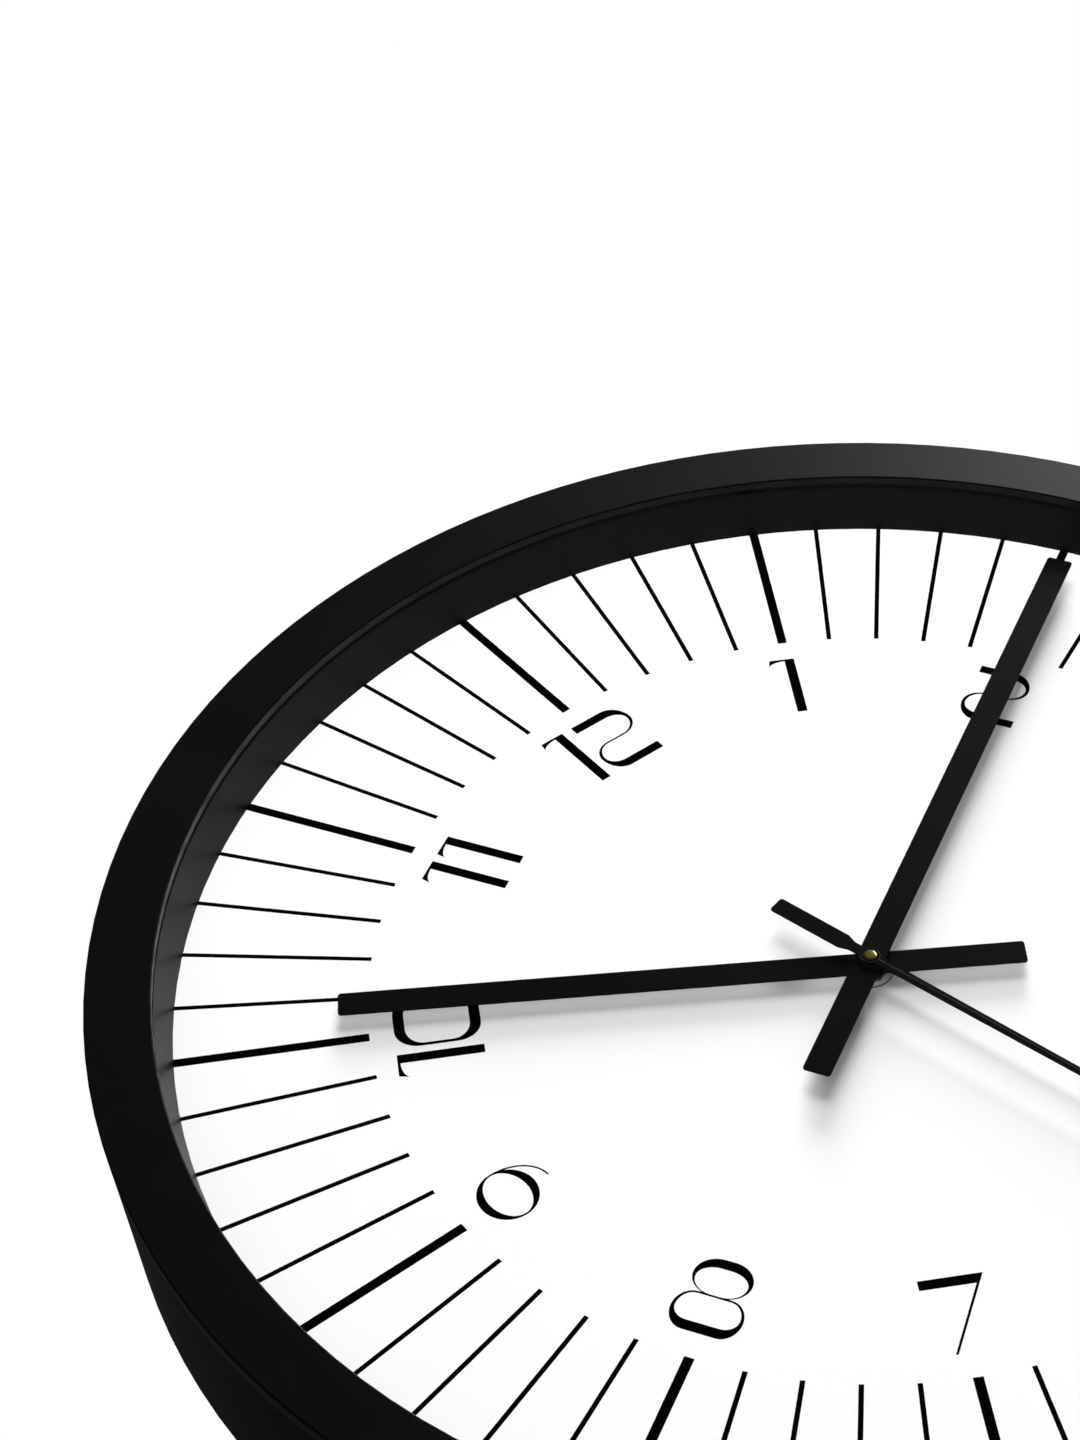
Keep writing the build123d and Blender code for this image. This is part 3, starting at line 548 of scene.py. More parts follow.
INK = Finish("black_ink", grey(0.0008), grey(0.0012), (0.45, 0.6), specular=0.0, drift=300.0, grain=6000.0,
             relief=0.000003)
HAND_BLACK = Finish("hand_black_lacquer", grey(0.0032), grey(0.004), (0.3, 0.36), specular=0.038,
                    drift=60.0, grain=4000.0, relief=0.000006)
BRASS = TurnedMetal("turned_brass", (0.34, 0.31, 0.07, 1), (0.42, 0.39, 0.1, 1), (0.24, 0.3), metal=1.0,
                    grain=1500.0, relief=0.00001, coat=0.7)
# The washer's dark rim is painted edge shade.
WASHER_STEEL = PunchedSheet("washer_steel", grey(0.86), grey(0.92), (0.5, 0.6), metal=0.1, specular=0.3,
                            grain=1200.0, relief=0.000008)
NUT_STEEL = TurnedMetal("nut_dark_steel", grey(0.2), grey(0.26), (0.35, 0.5), metal=0.7, grain=1200.0)
SCREW_STEEL = Finish("screw_black_zinc", grey(0.05, 0.05), grey(0.08, 0.05), (0.3, 0.42), metal=0.9)
ARBOR_STEEL = RolledMetal("ground_steel", grey(0.45), grey(0.56), (0.2, 0.3), metal=1.0, relief=0.000004)
IRON_SHEET = RolledMetal("motor_iron", grey(0.36), grey(0.45), (0.32, 0.46), metal=1.0)
NICKEL = RolledMetal("nickel_strip", grey(0.58, 0.03), grey(0.68, 0.03), (0.18, 0.3), metal=1.0)
CRYSTAL_CAN = Finish("crystal_can", grey(0.6), grey(0.7), (0.16, 0.26), metal=1.0)
MAGNET = Finish("sintered_magnet", grey(0.05), grey(0.07), (0.4, 0.55), metal=0.6, grain=5000.0,
                relief=0.00003)
GEAR_NATURAL = Finish("natural_acetal", (0.74, 0.72, 0.64, 1), (0.8, 0.78, 0.71, 1), (0.32, 0.42),
                      grain=3000.0)
TUBE_WHEEL = WheelOnTube("acetal_on_brass_tube", (0.74, 0.72, 0.64, 1), (0.8, 0.78, 0.71, 1), (0.3, 0.4),
                         grain=3000.0)
BOBBIN_WHITE = Finish("bobbin_nylon", (0.70, 0.70, 0.66, 1), (0.76, 0.76, 0.73, 1), (0.35, 0.48))
COPPER = WoundWire("enamelled_copper", (0.42, 0.13, 0.05, 1), (0.58, 0.2, 0.08, 1), (0.22, 0.34), metal=1.0,
                   grain=900.0, relief=0.00006)
BOARD = Finish("board_laminate", (0.20, 0.13, 0.05, 1), (0.27, 0.18, 0.07, 1), (0.45, 0.55), grain=900.0)
RESIN = Finish("cast_resin", grey(0.008), grey(0.012), (0.12, 0.25), grain=500.0, relief=0.00005)
RUBBER = Finish("gasket_rubber", grey(0.012), grey(0.018), (0.7, 0.85), grain=2000.0)
JACKET = PrintedSleeve("battery_sleeve", grey(0.016), grey(0.022), (0.25, 0.35), coat=0.3, drift=20.0)
CAN_STEEL = RolledMetal("battery_can_steel", grey(0.5, 0.02), grey(0.62, 0.02), (0.2, 0.32), metal=1.0)
BATTERY_RING = Finish("battery_insulator", grey(0.1), grey(0.14), (0.5, 0.6))
LENS = ClearSheet("clear_lens_sheet")
FLOOR_PAINT = Finish("studio_floor_paint", grey(0.72), grey(0.76), (0.8, 0.9), drift=2.0, grain=60.0)

NODE_FINISHES: dict[str, Finish | ClearSheet] = {
    "case_ring": CASE_BLACK,
    "clear_lens": LENS,
    "inner_ring": RING_BLACK,
    "dial_plate": DIAL_WHITE,
    "rear_cover": COVER_BLACK,
    "press_ring": COVER_BLACK,
    "movement_well": COVER_BLACK,
    "rear_cover_screws": SCREW_STEEL,
    "movement_front_case": MOVEMENT_BLACK,
    "movement_rear_case": MOVEMENT_BLACK,
    "threaded_bushing": BRASS,
    "dial_gasket": RUBBER,
    "dial_washer": WASHER_STEEL,
    "hex_nut": NUT_STEEL,
    "hour_hand": HAND_BLACK,
    "minute_hand": HAND_BLACK,
    "second_hand": HAND_BLACK,
    "second_hand_hub": BRASS,
    "rotor_pinion": GEAR_NATURAL,
    "rotor_magnet": MAGNET,
    "intermediate_wheel": GEAR_NATURAL,
    "second_wheel": GEAR_NATURAL,
    "second_arbor": ARBOR_STEEL,
    "third_wheel": GEAR_NATURAL,
    "minute_wheel": TUBE_WHEEL,
    "transfer_wheel": GEAR_NATURAL,
    "setting_knob": GEAR_NATURAL,
    "hour_wheel": GEAR_NATURAL,
    "stator": IRON_SHEET,
    "coil_core": IRON_SHEET,
    "coil_bobbin": BOBBIN_WHITE,
    "coil_winding": COPPER,
    "circuit_board": BOARD,
    "quartz_crystal": CRYSTAL_CAN,
    "driver_chip": RESIN,
    "positive_contact": NICKEL,
    "negative_contact": NICKEL,
    "battery_cell": JACKET,
}


class FinishStore:
    """Materials made so far, one for each finish."""

    def __init__(self) -> None:
        """Start with no material."""
        self.made: dict[str, bpy.types.Material] = {}

    def get(self, finish: Finish | ClearSheet) -> bpy.types.Material:
        """Material of a finish, made at its first use.

        Args:
            finish: The finish.

        Returns:
            Its material.
        """
        if finish.name not in self.made:
            self.made[finish.name] = finish.build()
        return self.made[finish.name]

    def dress(self, piece: Piece, finish: Finish | ClearSheet) -> None:
        """Give a piece its finish in place of what it has."""
        piece.data.materials.clear()
        piece.data.materials.append(self.get(finish))


STORE = FinishStore()


# ---------------------------------------------------------------- working with meshes
def select_only(*objects: Piece) -> None:
    """Select these objects alone and make the first one active.

    Args:
        *objects: Objects to select, the active one first.
    """
    bpy.ops.object.select_all(action="DESELECT")
    for one in objects:
        one.select_set(True)
    bpy.context.view_layer.objects.active = objects[0]


def added(primitive: Callable[..., set[str]], **settings: object) -> Piece:
    """Add a primitive shape.

    Args:
        primitive: Operator that adds it.
        **settings: Settings of the operator.

    Returns:
        The new object, selected and active.
    """
    bpy.ops.object.select_all(action="DESELECT")
    primitive(**settings)
    return bpy.context.view_layer.objects.active


def apply_place(piece: Piece) -> None:
    """Move a piece's place, turn and size into its mesh, and leave it selected."""
    select_only(piece)
    bpy.ops.object.transform_apply(location=True, rotation=True, scale=True)


def face_outwards(piece: Piece, seam: float = 0.0) -> None:
    """Turn all faces of a closed piece outwards.

    Args:
        piece: Piece in object mode.
        seam: Points closer than this are merged first.
    """
    select_only(piece)
    bpy.ops.object.mode_set(mode="EDIT")
    bpy.ops.mesh.select_all(action="SELECT")
    if seam:
        bpy.ops.mesh.remove_doubles(threshold=seam)
    bpy.ops.mesh.normals_make_consistent(inside=False)
    bpy.ops.object.mode_set(mode="OBJECT")


def join(objects: list[Piece]) -> Piece:
    """Join objects into the first one.

    Args:
        objects: Objects to join, with the one that stays first.

    Returns:
        The joined object.
    """
    select_only(*objects)
    bpy.ops.object.join()
    joined = bpy.context.view_layer.objects.active
    bpy.ops.object.select_all(action="DESELECT")
    return joined


def turned_copy(source: Piece, clock_angle: float) -> Piece:
    """Copy a piece, with its own mesh, and turn it about the hands' axis.

    Args:
        source: Piece to copy.
        clock_angle: Degrees clockwise as seen from the front.

    Returns:
        The copy.
    """
    copy = source.copy()
    copy.data = source.data.copy()
    bpy.context.scene.collection.objects.link(copy)
    copy.data.transform(Matrix.Rotation(math.radians(clock_angle), 4, "Y"))
    return copy


def finish_piece(piece: Piece, name: str, body: Body, finish: Finish | ClearSheet, slot: str,
                 *replaced: str) -> None:
    """Name a new piece, dress it, tie it to its body and report it.

    Args:
        piece: The new piece.
        name: Its name.
        body: Body that it moves with.
        finish: Its finish.
        slot: Material slot that the finish belongs to; not used.
        *replaced: CAD nodes that it stands for.
    """
    piece.name = piece.data.name = name
    if replaced:
        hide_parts(*replaced)
    STORE.dress(piece, finish)
    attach(piece, body.value)
    log.info("piece %s: %d faces on %s", name, len(piece.data.polygons), body.value)


# ---------------------------------------------------------------- modelling in the bench frame
# Small hardware is drawn in millimetres with x to 3 o'clock, y to 12 o'clock and z up from the wall.
BENCH = Matrix.Rotation(math.pi / 2, 4, "X") @ Matrix.Scale(MM, 4)
# The rest: merging distance of a spun ring, steps of its rounded edges, cosine of the widest angle at
# which a face still faces a direction, and how near the farthest point a hand's tip starts.
SPUN_SEAM = 0.0005
EDGE_STEPS = 3
FACING = 0.9
TIP_SHARE = 0.9999


class Operation(str, Enum):
    """What a tool does to a piece."""

    CUT = "DIFFERENCE"
    KEEP = "INTERSECT"
    ADD = "UNION"


def heights(node: str) -> Pair:
    """Lowest and highest place of a CAD node above the wall, in millimetres."""
    low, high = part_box(node)
    return -high.y / MM, -low.y / MM


def middle(node: str) -> Point:
    """Middle of a CAD node's box as seen from the front, in millimetres."""
    low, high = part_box(node)
    return (low.x + high.x) / 2 / MM, (low.z + high.z) / 2 / MM


def pointing(node: str) -> float:
    """Clock angle in degrees of the tip of a CAD node, which is farthest from the hands' axis.

    Args:
        node: Name of the node.

    Returns:
        The angle, from 12 o'clock.
    """
    points = [vertex.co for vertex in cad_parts[node].data.vertices]
    reach = max(math.hypot(point.x, point.z) for point in points)
    tip = [point for point in points if math.hypot(point.x, point.z) > reach * TIP_SHARE]
    return math.degrees(math.atan2(sum(point.x for point in tip), sum(point.z for point in tip)))


def settle(piece: Piece, place: Matrix, crease: float = 35.0) -> Piece:
    """Turn the faces outwards, smooth them and lay the piece in its place.

    Args:
        piece: Piece in object mode, drawn about the origin.
        place: From its drawing to its place.
        crease: Edges sharper than this angle, in degrees, stay sharp.

    Returns:
        The piece.
    """
    apply_place(piece)
    face_outwards(piece)
    piece.data.transform(place)
    bpy.ops.object.shade_smooth_by_angle(angle=math.radians(crease))
    bpy.ops.object.select_all(action="DESELECT")
    return piece


def work(piece: Piece, tool: Piece, operation: Operation = Operation.CUT) -> None:
    """Work a piece with a tool, which is used up.

    Args:
        piece: Piece in object mode.
        tool: The other solid.
        operation: What the tool does.
    """
    modifier = piece.modifiers.new("work", "BOOLEAN")
    modifier.object, modifier.operation, modifier.solver = tool, operation.value, "EXACT"
    select_only(piece)
    bpy.ops.object.modifier_apply(modifier=modifier.name)
    bpy.data.objects.remove(tool)


def block(size: Triple, at: Triple, turn: float = 0.0) -> Piece:
    """Box of a size about a point, turned about the upright axis by an angle in degrees.

    Args:
        size: Length of its sides along x, y and z.
        at: Its middle.
        turn: The angle.

    Returns:
        The box, in object mode.
    """
    box = added(bpy.ops.mesh.primitive_cube_add, size=1, location=at, rotation=(0, 0, math.radians(turn)))
    box.scale = size
    apply_place(box)
    return box


def plate(size: Pair, at: Triple) -> Piece:
    """Upright rectangle of a width and a height about a point, facing front and back.

    Args:
        size: Width and height.
        at: Its middle.

    Returns:
        The rectangle, in object mode.
    """
    flat = added(bpy.ops.mesh.primitive_plane_add, size=1, location=at, rotation=(math.pi / 2, 0, 0))
    flat.scale = (*size, 1)
    apply_place(flat)
    return flat


def pick(piece: Piece, towards: Triple) -> None:
    """Go to edit mode with only the faces selected that face a direction.

    Args:
        piece: Piece in object mode.
        towards: The direction, of length 1.
    """
    select_only(piece)
    bpy.ops.object.mode_set(mode="EDIT")
    bpy.ops.mesh.select_mode(type="FACE")
    bpy.ops.mesh.select_all(action="DESELECT")
    bpy.ops.object.mode_set(mode="OBJECT")
    for face in piece.data.polygons:
        face.select = face.normal.dot(Vector(towards)) > FACING
    bpy.ops.object.mode_set(mode="EDIT")


def narrow(share: Triple, about: Triple) -> None:
    """Resize the selected faces about a point and leave edit mode."""
    bpy.ops.transform.resize(value=share, center_override=about)
    bpy.ops.object.mode_set(mode="OBJECT")


def front_of(piece: Piece) -> tuple[Vector, Vector]:
    """Middle and direction of the selected faces of a piece in edit mode.

    Args:
        piece: Piece in edit mode, unturned and unscaled.

    Returns:
        Mean of the faces' middles, and their direction away from the rest of the piece.
    """
    bpy.ops.object.mode_set(mode="OBJECT")
    chosen = [face for face in piece.data.polygons if face.select]
    at = sum((face.center for face in chosen), Vector()) / len(chosen)
    ahead = sum((face.normal for face in chosen), Vector()).normalized()
    rest = sum((vertex.co for vertex in piece.data.vertices), Vector()) / len(piece.data.vertices)
    if ahead.dot(at - rest) < 0:
        ahead.negate()
    bpy.ops.object.mode_set(mode="EDIT")
    return at, ahead


def ring(radii: Pair, low: float, high: float, edge: float) -> Piece:
    """Ring about the upright axis, spun from its section.

    Args:
        radii: Inner and outer radius.
        low: Lower height.
        high: Upper height.
        edge: Width of the rounding on all four edges.

    Returns:
        The ring, in object mode.
    """
    inner, outer = radii
    section = plate((outer - inner, high - low), ((inner + outer) / 2, 0, (low + high) / 2))
    bpy.ops.object.mode_set(mode="EDIT")
    bpy.ops.mesh.select_all(action="SELECT")
    bpy.ops.mesh.bevel(offset=edge, segments=EDGE_STEPS, affect="VERTICES")
    bpy.ops.mesh.spin(steps=ROUND_SIDES, angle=2 * math.pi, center=(0, 0, 0), axis=(0, 0, 1))
    bpy.ops.mesh.select_all(action="SELECT")
    bpy.ops.mesh.remove_doubles(threshold=SPUN_SEAM)
    bpy.ops.mesh.select_all(action="DESELECT")
    bpy.ops.mesh.select_interior_faces()
    bpy.ops.mesh.delete(type="FACE")
    bpy.ops.object.mode_set(mode="OBJECT")
    return section


class Turning:
    """Turned solid, grown from a disc by extruding and resizing its end face.

    Args:
        radius: Radius of the first disc.
        height: Its height.
        sides: Number of sides.

    Attributes:
        crest_share: Share of a thread's pitch where its crest ends.
        root_share: Share where its root is reached.
    """

    crest_share, root_share = 0.35, 0.75

    def __init__(self, radius: float, height: float, sides: int = ROUND_SIDES) -> None:
        """Lay the first disc."""
        self.piece = added(bpy.ops.mesh.primitive_circle_add, vertices=sides, radius=radius,
                           fill_type="NGON", location=(0, 0, height))
        self.radius, self.height = radius, height
        apply_place(self.piece)
        bpy.ops.object.mode_set(mode="EDIT")
        bpy.ops.mesh.select_all(action="SELECT")

    def to(self, radius: float, height: float) -> "Turning":
        """Carry the end face on to a radius and a height.

        Args:
            radius: Radius of the end face there.
            height: Height of the end face there.

        Returns:
            The turning.
        """
        bpy.ops.mesh.extrude_region_move(TRANSFORM_OT_translate={"value": (0, 0, height - self.height)})
        share = radius / self.radius
        bpy.ops.transform.resize(value=(share, share, 1), center_override=(0, 0, height))
        self.radius, self.height = radius, height
        return self

    def follow(self, profile: Iterable[Point], start: float) -> "Turning":
        """Carry the end face along steps of radius and height.

        Args:
            profile: Radius of each step, and its height from the start.
            start: Height that the steps are measured from.

        Returns:
            The turning.
        """
        for radius, height in profile:
            self.to(radius, start + height)
        return self

    def thread(self, crest: float, root: float, end: float, pitch: float) -> "Turning":
        """Cut thread-like rings from here to a height.

        Args:
            crest: Radius at the crests.
            root: Radius at the roots.
            end: Height where the thread ends.
            pitch: Distance between crests.

        Returns:
            The turning.
        """
        count = max(1, int(abs(end - self.height) / pitch))
        step = (end - self.height) / count
        start = self.height
        for number in range(count):
            self.to(crest, start + step * (number + self.crest_share))
            self.to(root, start + step * (number + self.root_share))
        return self.to(crest, end)

    def done(self) -> Piece:
        """Leave edit mode and return the solid, with its faces outwards.

        Returns:
            The solid.
        """
        bpy.ops.object.mode_set(mode="OBJECT")
        face_outwards(self.piece)
        return self.piece


def drill(piece: Piece, radius: float, low: float, high: float) -> None:
    """Drill a bore of a radius along a piece's upright axis, past its lower and its upper end."""
    overrun = 1.0
    work(piece, Turning(radius, low - overrun).to(radius, high + overrun).done())


@dataclass
class SecondHandTrim:
    """Turned cap, embossed pad rim and raised rib of the second hand.

    Attributes:
        cap_radius: Radius of the cap's shoulder.
        cap_neck: Radius of the part inside the hand's hole.
        cap_foot: Radius of the cap's end, and the height from there where the neck starts.
        cap_rise: Height of the cap's face above the hand.
        cap_drop: Depth of the sloping edge round the face.
        cap_dome: Radius of each step of the domed face, and its height from the face's edge.
        rim_radii: Inner and outer radius of the embossed rim.
        rim_rise: Height of the rim.
        rim_edge: Rounding of the rim.
        rib_widths: Width of the rib at its root and at its tip.
        rib_rise: Height of the rib.
        rib_crest: Width of the rib's top as a share of its root.
        rib_reach: Start and end of the rib.
        sunk: Depth of the rim's and of the rib's root in the hand.
    """

    cap_radius: float = 1.36
    cap_neck: float = 1.34
    cap_foot: Pair = (1.24, 0.1)
    cap_rise: float = 0.32
    cap_drop: float = 0.13
    cap_dome: tuple[Point, ...] = ((1.02, 0.0), (0.612, 0.02), (0.204, 0.025))
    rim_radii: Pair = (1.85, 2.03)
    rim_rise: float = 0.09
    rim_edge: float = 0.054
    rib_widths: Pair = (0.8, 0.3)
    rib_rise: float = 0.12
    rib_crest: float = 0.45
    rib_reach: Pair = (1.9, 128.0)
    sunk: Pair = (0.05, 0.04)

    def build(self) -> None:
        """Make the three pieces."""
        self.top = heights("second_hand")[1]
        self.cap()
        self.rim()
        self.rib()

    def cap(self) -> None:
        """Turn the brass cap with a sloping edge and a slightly domed face."""
        bottom, face = heights("second_hand_hub")[0], self.top + self.cap_rise
        radius, edge = self.cap_foot
        turning = Turning(radius, bottom).to(self.cap_neck, bottom + edge).to(self.cap_neck, self.top)
        turning.to(self.cap_radius, self.top).to(self.cap_radius, face - self.cap_drop)
        cap = settle(turning.follow(self.cap_dome, face).done(), BENCH, crease=12)
        finish_piece(cap, "second_hand_cap", Body.SECONDS, BRASS, "brass", "second_hand_hub")

    def rim(self) -> None:
        """Lay the embossed rim round the pad."""
        rim = ring(self.rim_radii, self.top - self.sunk[0], self.top + self.rim_rise, self.rim_edge)
        rim = settle(rim, BENCH, crease=60)
        finish_piece(rim, "second_hand_rim", Body.SECONDS, HAND_RAISED, "hand_black")

    def rib(self) -> None:
        """Lay the tapered rib along the blade."""
        start, end = self.rib_reach
        root, tip = self.rib_widths
        sunk = self.sunk[1]
        at = (0, (start + end) / 2, self.top + (self.rib_rise - sunk) / 2)
        rib = block((root, end - start, self.rib_rise + sunk), at)
        pick(rib, (0, 1, 0))
        narrow((tip / root, 1, 1), (0, end, at[2]))
        pick(rib, (0, 0, 1))
        narrow((self.rib_crest, 1, 1), at)
        turn = Matrix.Rotation(math.radians(pointing("second_hand")), 4, "Y")
        rib = settle(rib, turn @ BENCH, crease=10)
        finish_piece(rib, "second_hand_rib", Body.SECONDS, HAND_RAISED, "hand_black")


@dataclass
class Fasteners:
    """Chamfered hexagon nut, threaded bushing and the cover's screws.

    Attributes:
        flats: Width of the nut across its flats.
        corner: Direction of one corner of the nut, anticlockwise from 3 o'clock in degrees.
        corner_cut: Height that the nut's corners lose at each face.
        corner_start: Radius where that cut starts, as a share of half the flats.
        clear: How far that cut reaches past the corners.
        bore: Radius of the nut's bore.
        bushing_flange: Height of the bushing's flange.
        bushing_crest: Radius of the bushing's thread.
        bushing_root: Radius at the roots of that thread.
        bushing_end: Radius and height of the bevel at the bushing's end.
        bushing_bore: Radius of the bushing's bore.
        pitch: Pitch of the bushing's thread.
        screw_radii: Radius of a screw's head, shank and thread root.
        screw_pitch: Pitch of a screw's thread.
        screw_tip: Radius and length of a screw's tip.
        screw_plain: Length of the plain shank under the head.
        screw_head: Steps of the head's side, as the radius it loses and the height from its seat.
        screw_crown: Steps of the head's crown, as the radius it loses and the height from its top.
        recess: Length, width and depth of each arm of a screw's cross recess.
        screw_sides: Number of sides of a screw.
        screw_count: Number of screws.
    """

    flats: float = 7.0
    corner: float = -99.0
    corner_cut: float = 0.22
    corner_start: float = 1.01
    clear: float = 0.02
    bore: float = 3.02
    bushing_flange: float = 0.8
    bushing_crest: float = 2.98
    bushing_root: float = 2.72
    bushing_end: Pair = (2.8, 0.1)
    bushing_bore: float = 2.15
    pitch: float = 0.5
    screw_radii: Triple = (2.1, 0.9, 0.62)
    screw_pitch: float = 0.8
    screw_tip: Pair = (0.2, 0.9)
    screw_plain: float = 1.2
    screw_head: tuple[Point, ...] = ((0.0, 0.0), (0.0, -0.7), (0.2, -1.1))
    screw_crown: tuple[Point, ...] = ((0.75, 0.03), (1.1, 0.0))
    recess: Triple = (2.3, 0.5, 0.9)
    screw_sides: int = 24
    screw_count: int = 6

    def build(self) -> None:
        """Make all fasteners."""
        self.nut()
        self.bushing()
        self.screws()

    def nut(self) -> None:
        """Shape the nut from a hexagon and take off its corners."""
        low, high = heights("hex_nut")
        inside = self.flats / 2 * self.corner_start
        reach = self.flats / 2 / math.cos(math.pi / 6)
        nut = added(bpy.ops.mesh.primitive_cylinder_add, vertices=6, radius=reach, depth=high - low,
                    location=(0, 0, (low + high) / 2), rotation=(0, 0, math.radians(self.corner - 90)))
        corners_off = Turning(inside, low).to(reach + self.clear, low + self.corner_cut)
        corners_off.to(reach + self.clear, high - self.corner_cut).to(inside, high)
        work(nut, corners_off.done(), Operation.KEEP)
        drill(nut, self.bore, low, high)
        finish_piece(settle(nut, BENCH, crease=20), "hex_nut_chamfered", Body.CASE, NUT_STEEL, "nut_steel",
                     "hex_nut")

    def bushing(self) -> None:
        """Turn the bushing with its flange and thread."""
        low, high = heights("threaded_bushing")
        thread_start = heights("movement_front_case")[1]
        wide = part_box("threaded_bushing")[1].x / MM
        crest, flange = self.bushing_crest, low + self.bushing_flange
        end, bevel = self.bushing_end
        turning = Turning(wide, low).to(wide, flange).to(crest, flange).to(crest, thread_start)
        turning.thread(crest, self.bushing_root, high - bevel, self.pitch).to(end, high)
        bushing = turning.done()
        drill(bushing, self.bushing_bore, low, high)
        finish_piece(settle(bushing, BENCH), "bushing_with_thread", Body.CASE, BRASS, "brass",
                     "threaded_bushing")

    def screws(self) -> None:
        """Turn one screw, cut its cross recess and set a copy at each boss."""
        head, shank, root = self.screw_radii
        low, high = heights("rear_cover_screws")
        seat = heights("rear_cover")[0]
        tip, tip_length = self.screw_tip
        turning = Turning(tip, high, sides=self.screw_sides).to(shank, high - tip_length)
        turning.thread(shank, root, seat + self.screw_plain, self.screw_pitch).to(shank, seat)
        for steps, start in ((self.screw_head, seat), (self.screw_crown, low)):
            turning.follow([(head - lost, height) for lost, height in steps], start)
        screw = turning.done()
        length, width, depth = self.recess
        for turn in (0, 90):
            work(screw, block((length, width, 2 * depth), (0, 0, low), turn))
        screw = settle(screw, BENCH, crease=30)
        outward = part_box("rear_cover_screws")[1].x - head * MM
        screw.data.transform(Matrix.Translation((outward, 0, 0)))
        copies = [turned_copy(screw, 360 / self.screw_count * number) for number in range(self.screw_count)]
        bpy.data.objects.remove(screw)
        finish_piece(join(copies), "cover_screws_cross_head", Body.CASE, SCREW_STEEL, "screw_steel",
                     "rear_cover_screws")


@dataclass
class Battery:
    """Steel can, printed sleeve and insulating ring of the cell.

    Attributes:
        end: First disc of the can's recessed flat end, as its radius and height.
        foot: Steps round that end, as radius and height from it.
        crimp: Steps of the crimped shoulder, as radius and height from it.
        nub: Steps of the positive nub, as radius and height from its end.
        nub_length: Height of the nub.
        sleeve_radii: Inner and outer radius of the sleeve.
        sleeve_short: How far the sleeve stops before the can's ends.
        sleeve_edge: Rounding of the sleeve.
        washer_radii: Inner and outer radius of the insulating ring.
        washer_heights: Its lower and upper height from the shoulder.
        washer_edge: Its rounding.
    """

    end: Pair = (4.9, 0.22)
    foot: tuple[Point, ...] = ((5.1, 0.02), (6.4, 0.0), (6.85, 0.15), (7.0, 0.6))
    crimp: tuple[Point, ...] = ((7.0, -0.6), (6.8, -0.15), (6.5, 0.0), (6.1, 0.0), (6.0, -0.35),
                                (3.0, -0.35), (2.75, -0.2))
    nub: tuple[Point, ...] = ((2.75, -0.3), (2.67, -0.1), (2.45, 0.0))
    nub_length: float = 1.2
    sleeve_radii: Pair = (7.005, 7.1)
    sleeve_short: float = 0.5
    sleeve_edge: float = 0.04
    washer_radii: Pair = (3.1, 5.9)
    washer_heights: Pair = (-0.37, -0.23)
    washer_edge: float = 0.03

    def build(self) -> None:
        """Make the three pieces."""
        low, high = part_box("battery_cell")
        along = Matrix.Rotation(math.pi / 2, 4, "Y") @ Matrix.Scale(MM, 4)
        self.place = Matrix.Translation((low.x, (low.y + high.y) / 2, (low.z + high.z) / 2)) @ along
        self.length = (high.x - low.x) / MM
        self.shoulder = self.length - self.nub_length
        self.can()
        self.sleeve()
        self.insulator()

    def can(self) -> None:
        """Turn the can with its recessed flat end, crimp and nub."""
        turning = Turning(*self.end).follow(self.foot, 0).follow(self.crimp, self.shoulder)
        can = settle(turning.follow(self.nub, self.length).done(), self.place, crease=30)
        finish_piece(can, "battery_can", Body.BATTERY, CAN_STEEL, "contact_nickel", "battery_cell")

    def sleeve(self) -> None:
        """Spin the sleeve round the can."""
        sleeve = ring(self.sleeve_radii, self.sleeve_short, self.shoulder - self.sleeve_short,
                      self.sleeve_edge)
        finish_piece(settle(sleeve, self.place, crease=40), "battery_sleeve", Body.BATTERY, JACKET,
                     "battery_jacket")

    def insulator(self) -> None:
        """Spin the insulating ring round the nub."""
        low, high = self.washer_heights
        washer = ring(self.washer_radii, self.shoulder + low, self.shoulder + high, self.washer_edge)
        finish_piece(settle(washer, self.place, crease=40), "battery_insulator", Body.BATTERY, BATTERY_RING,
                     "battery_jacket")


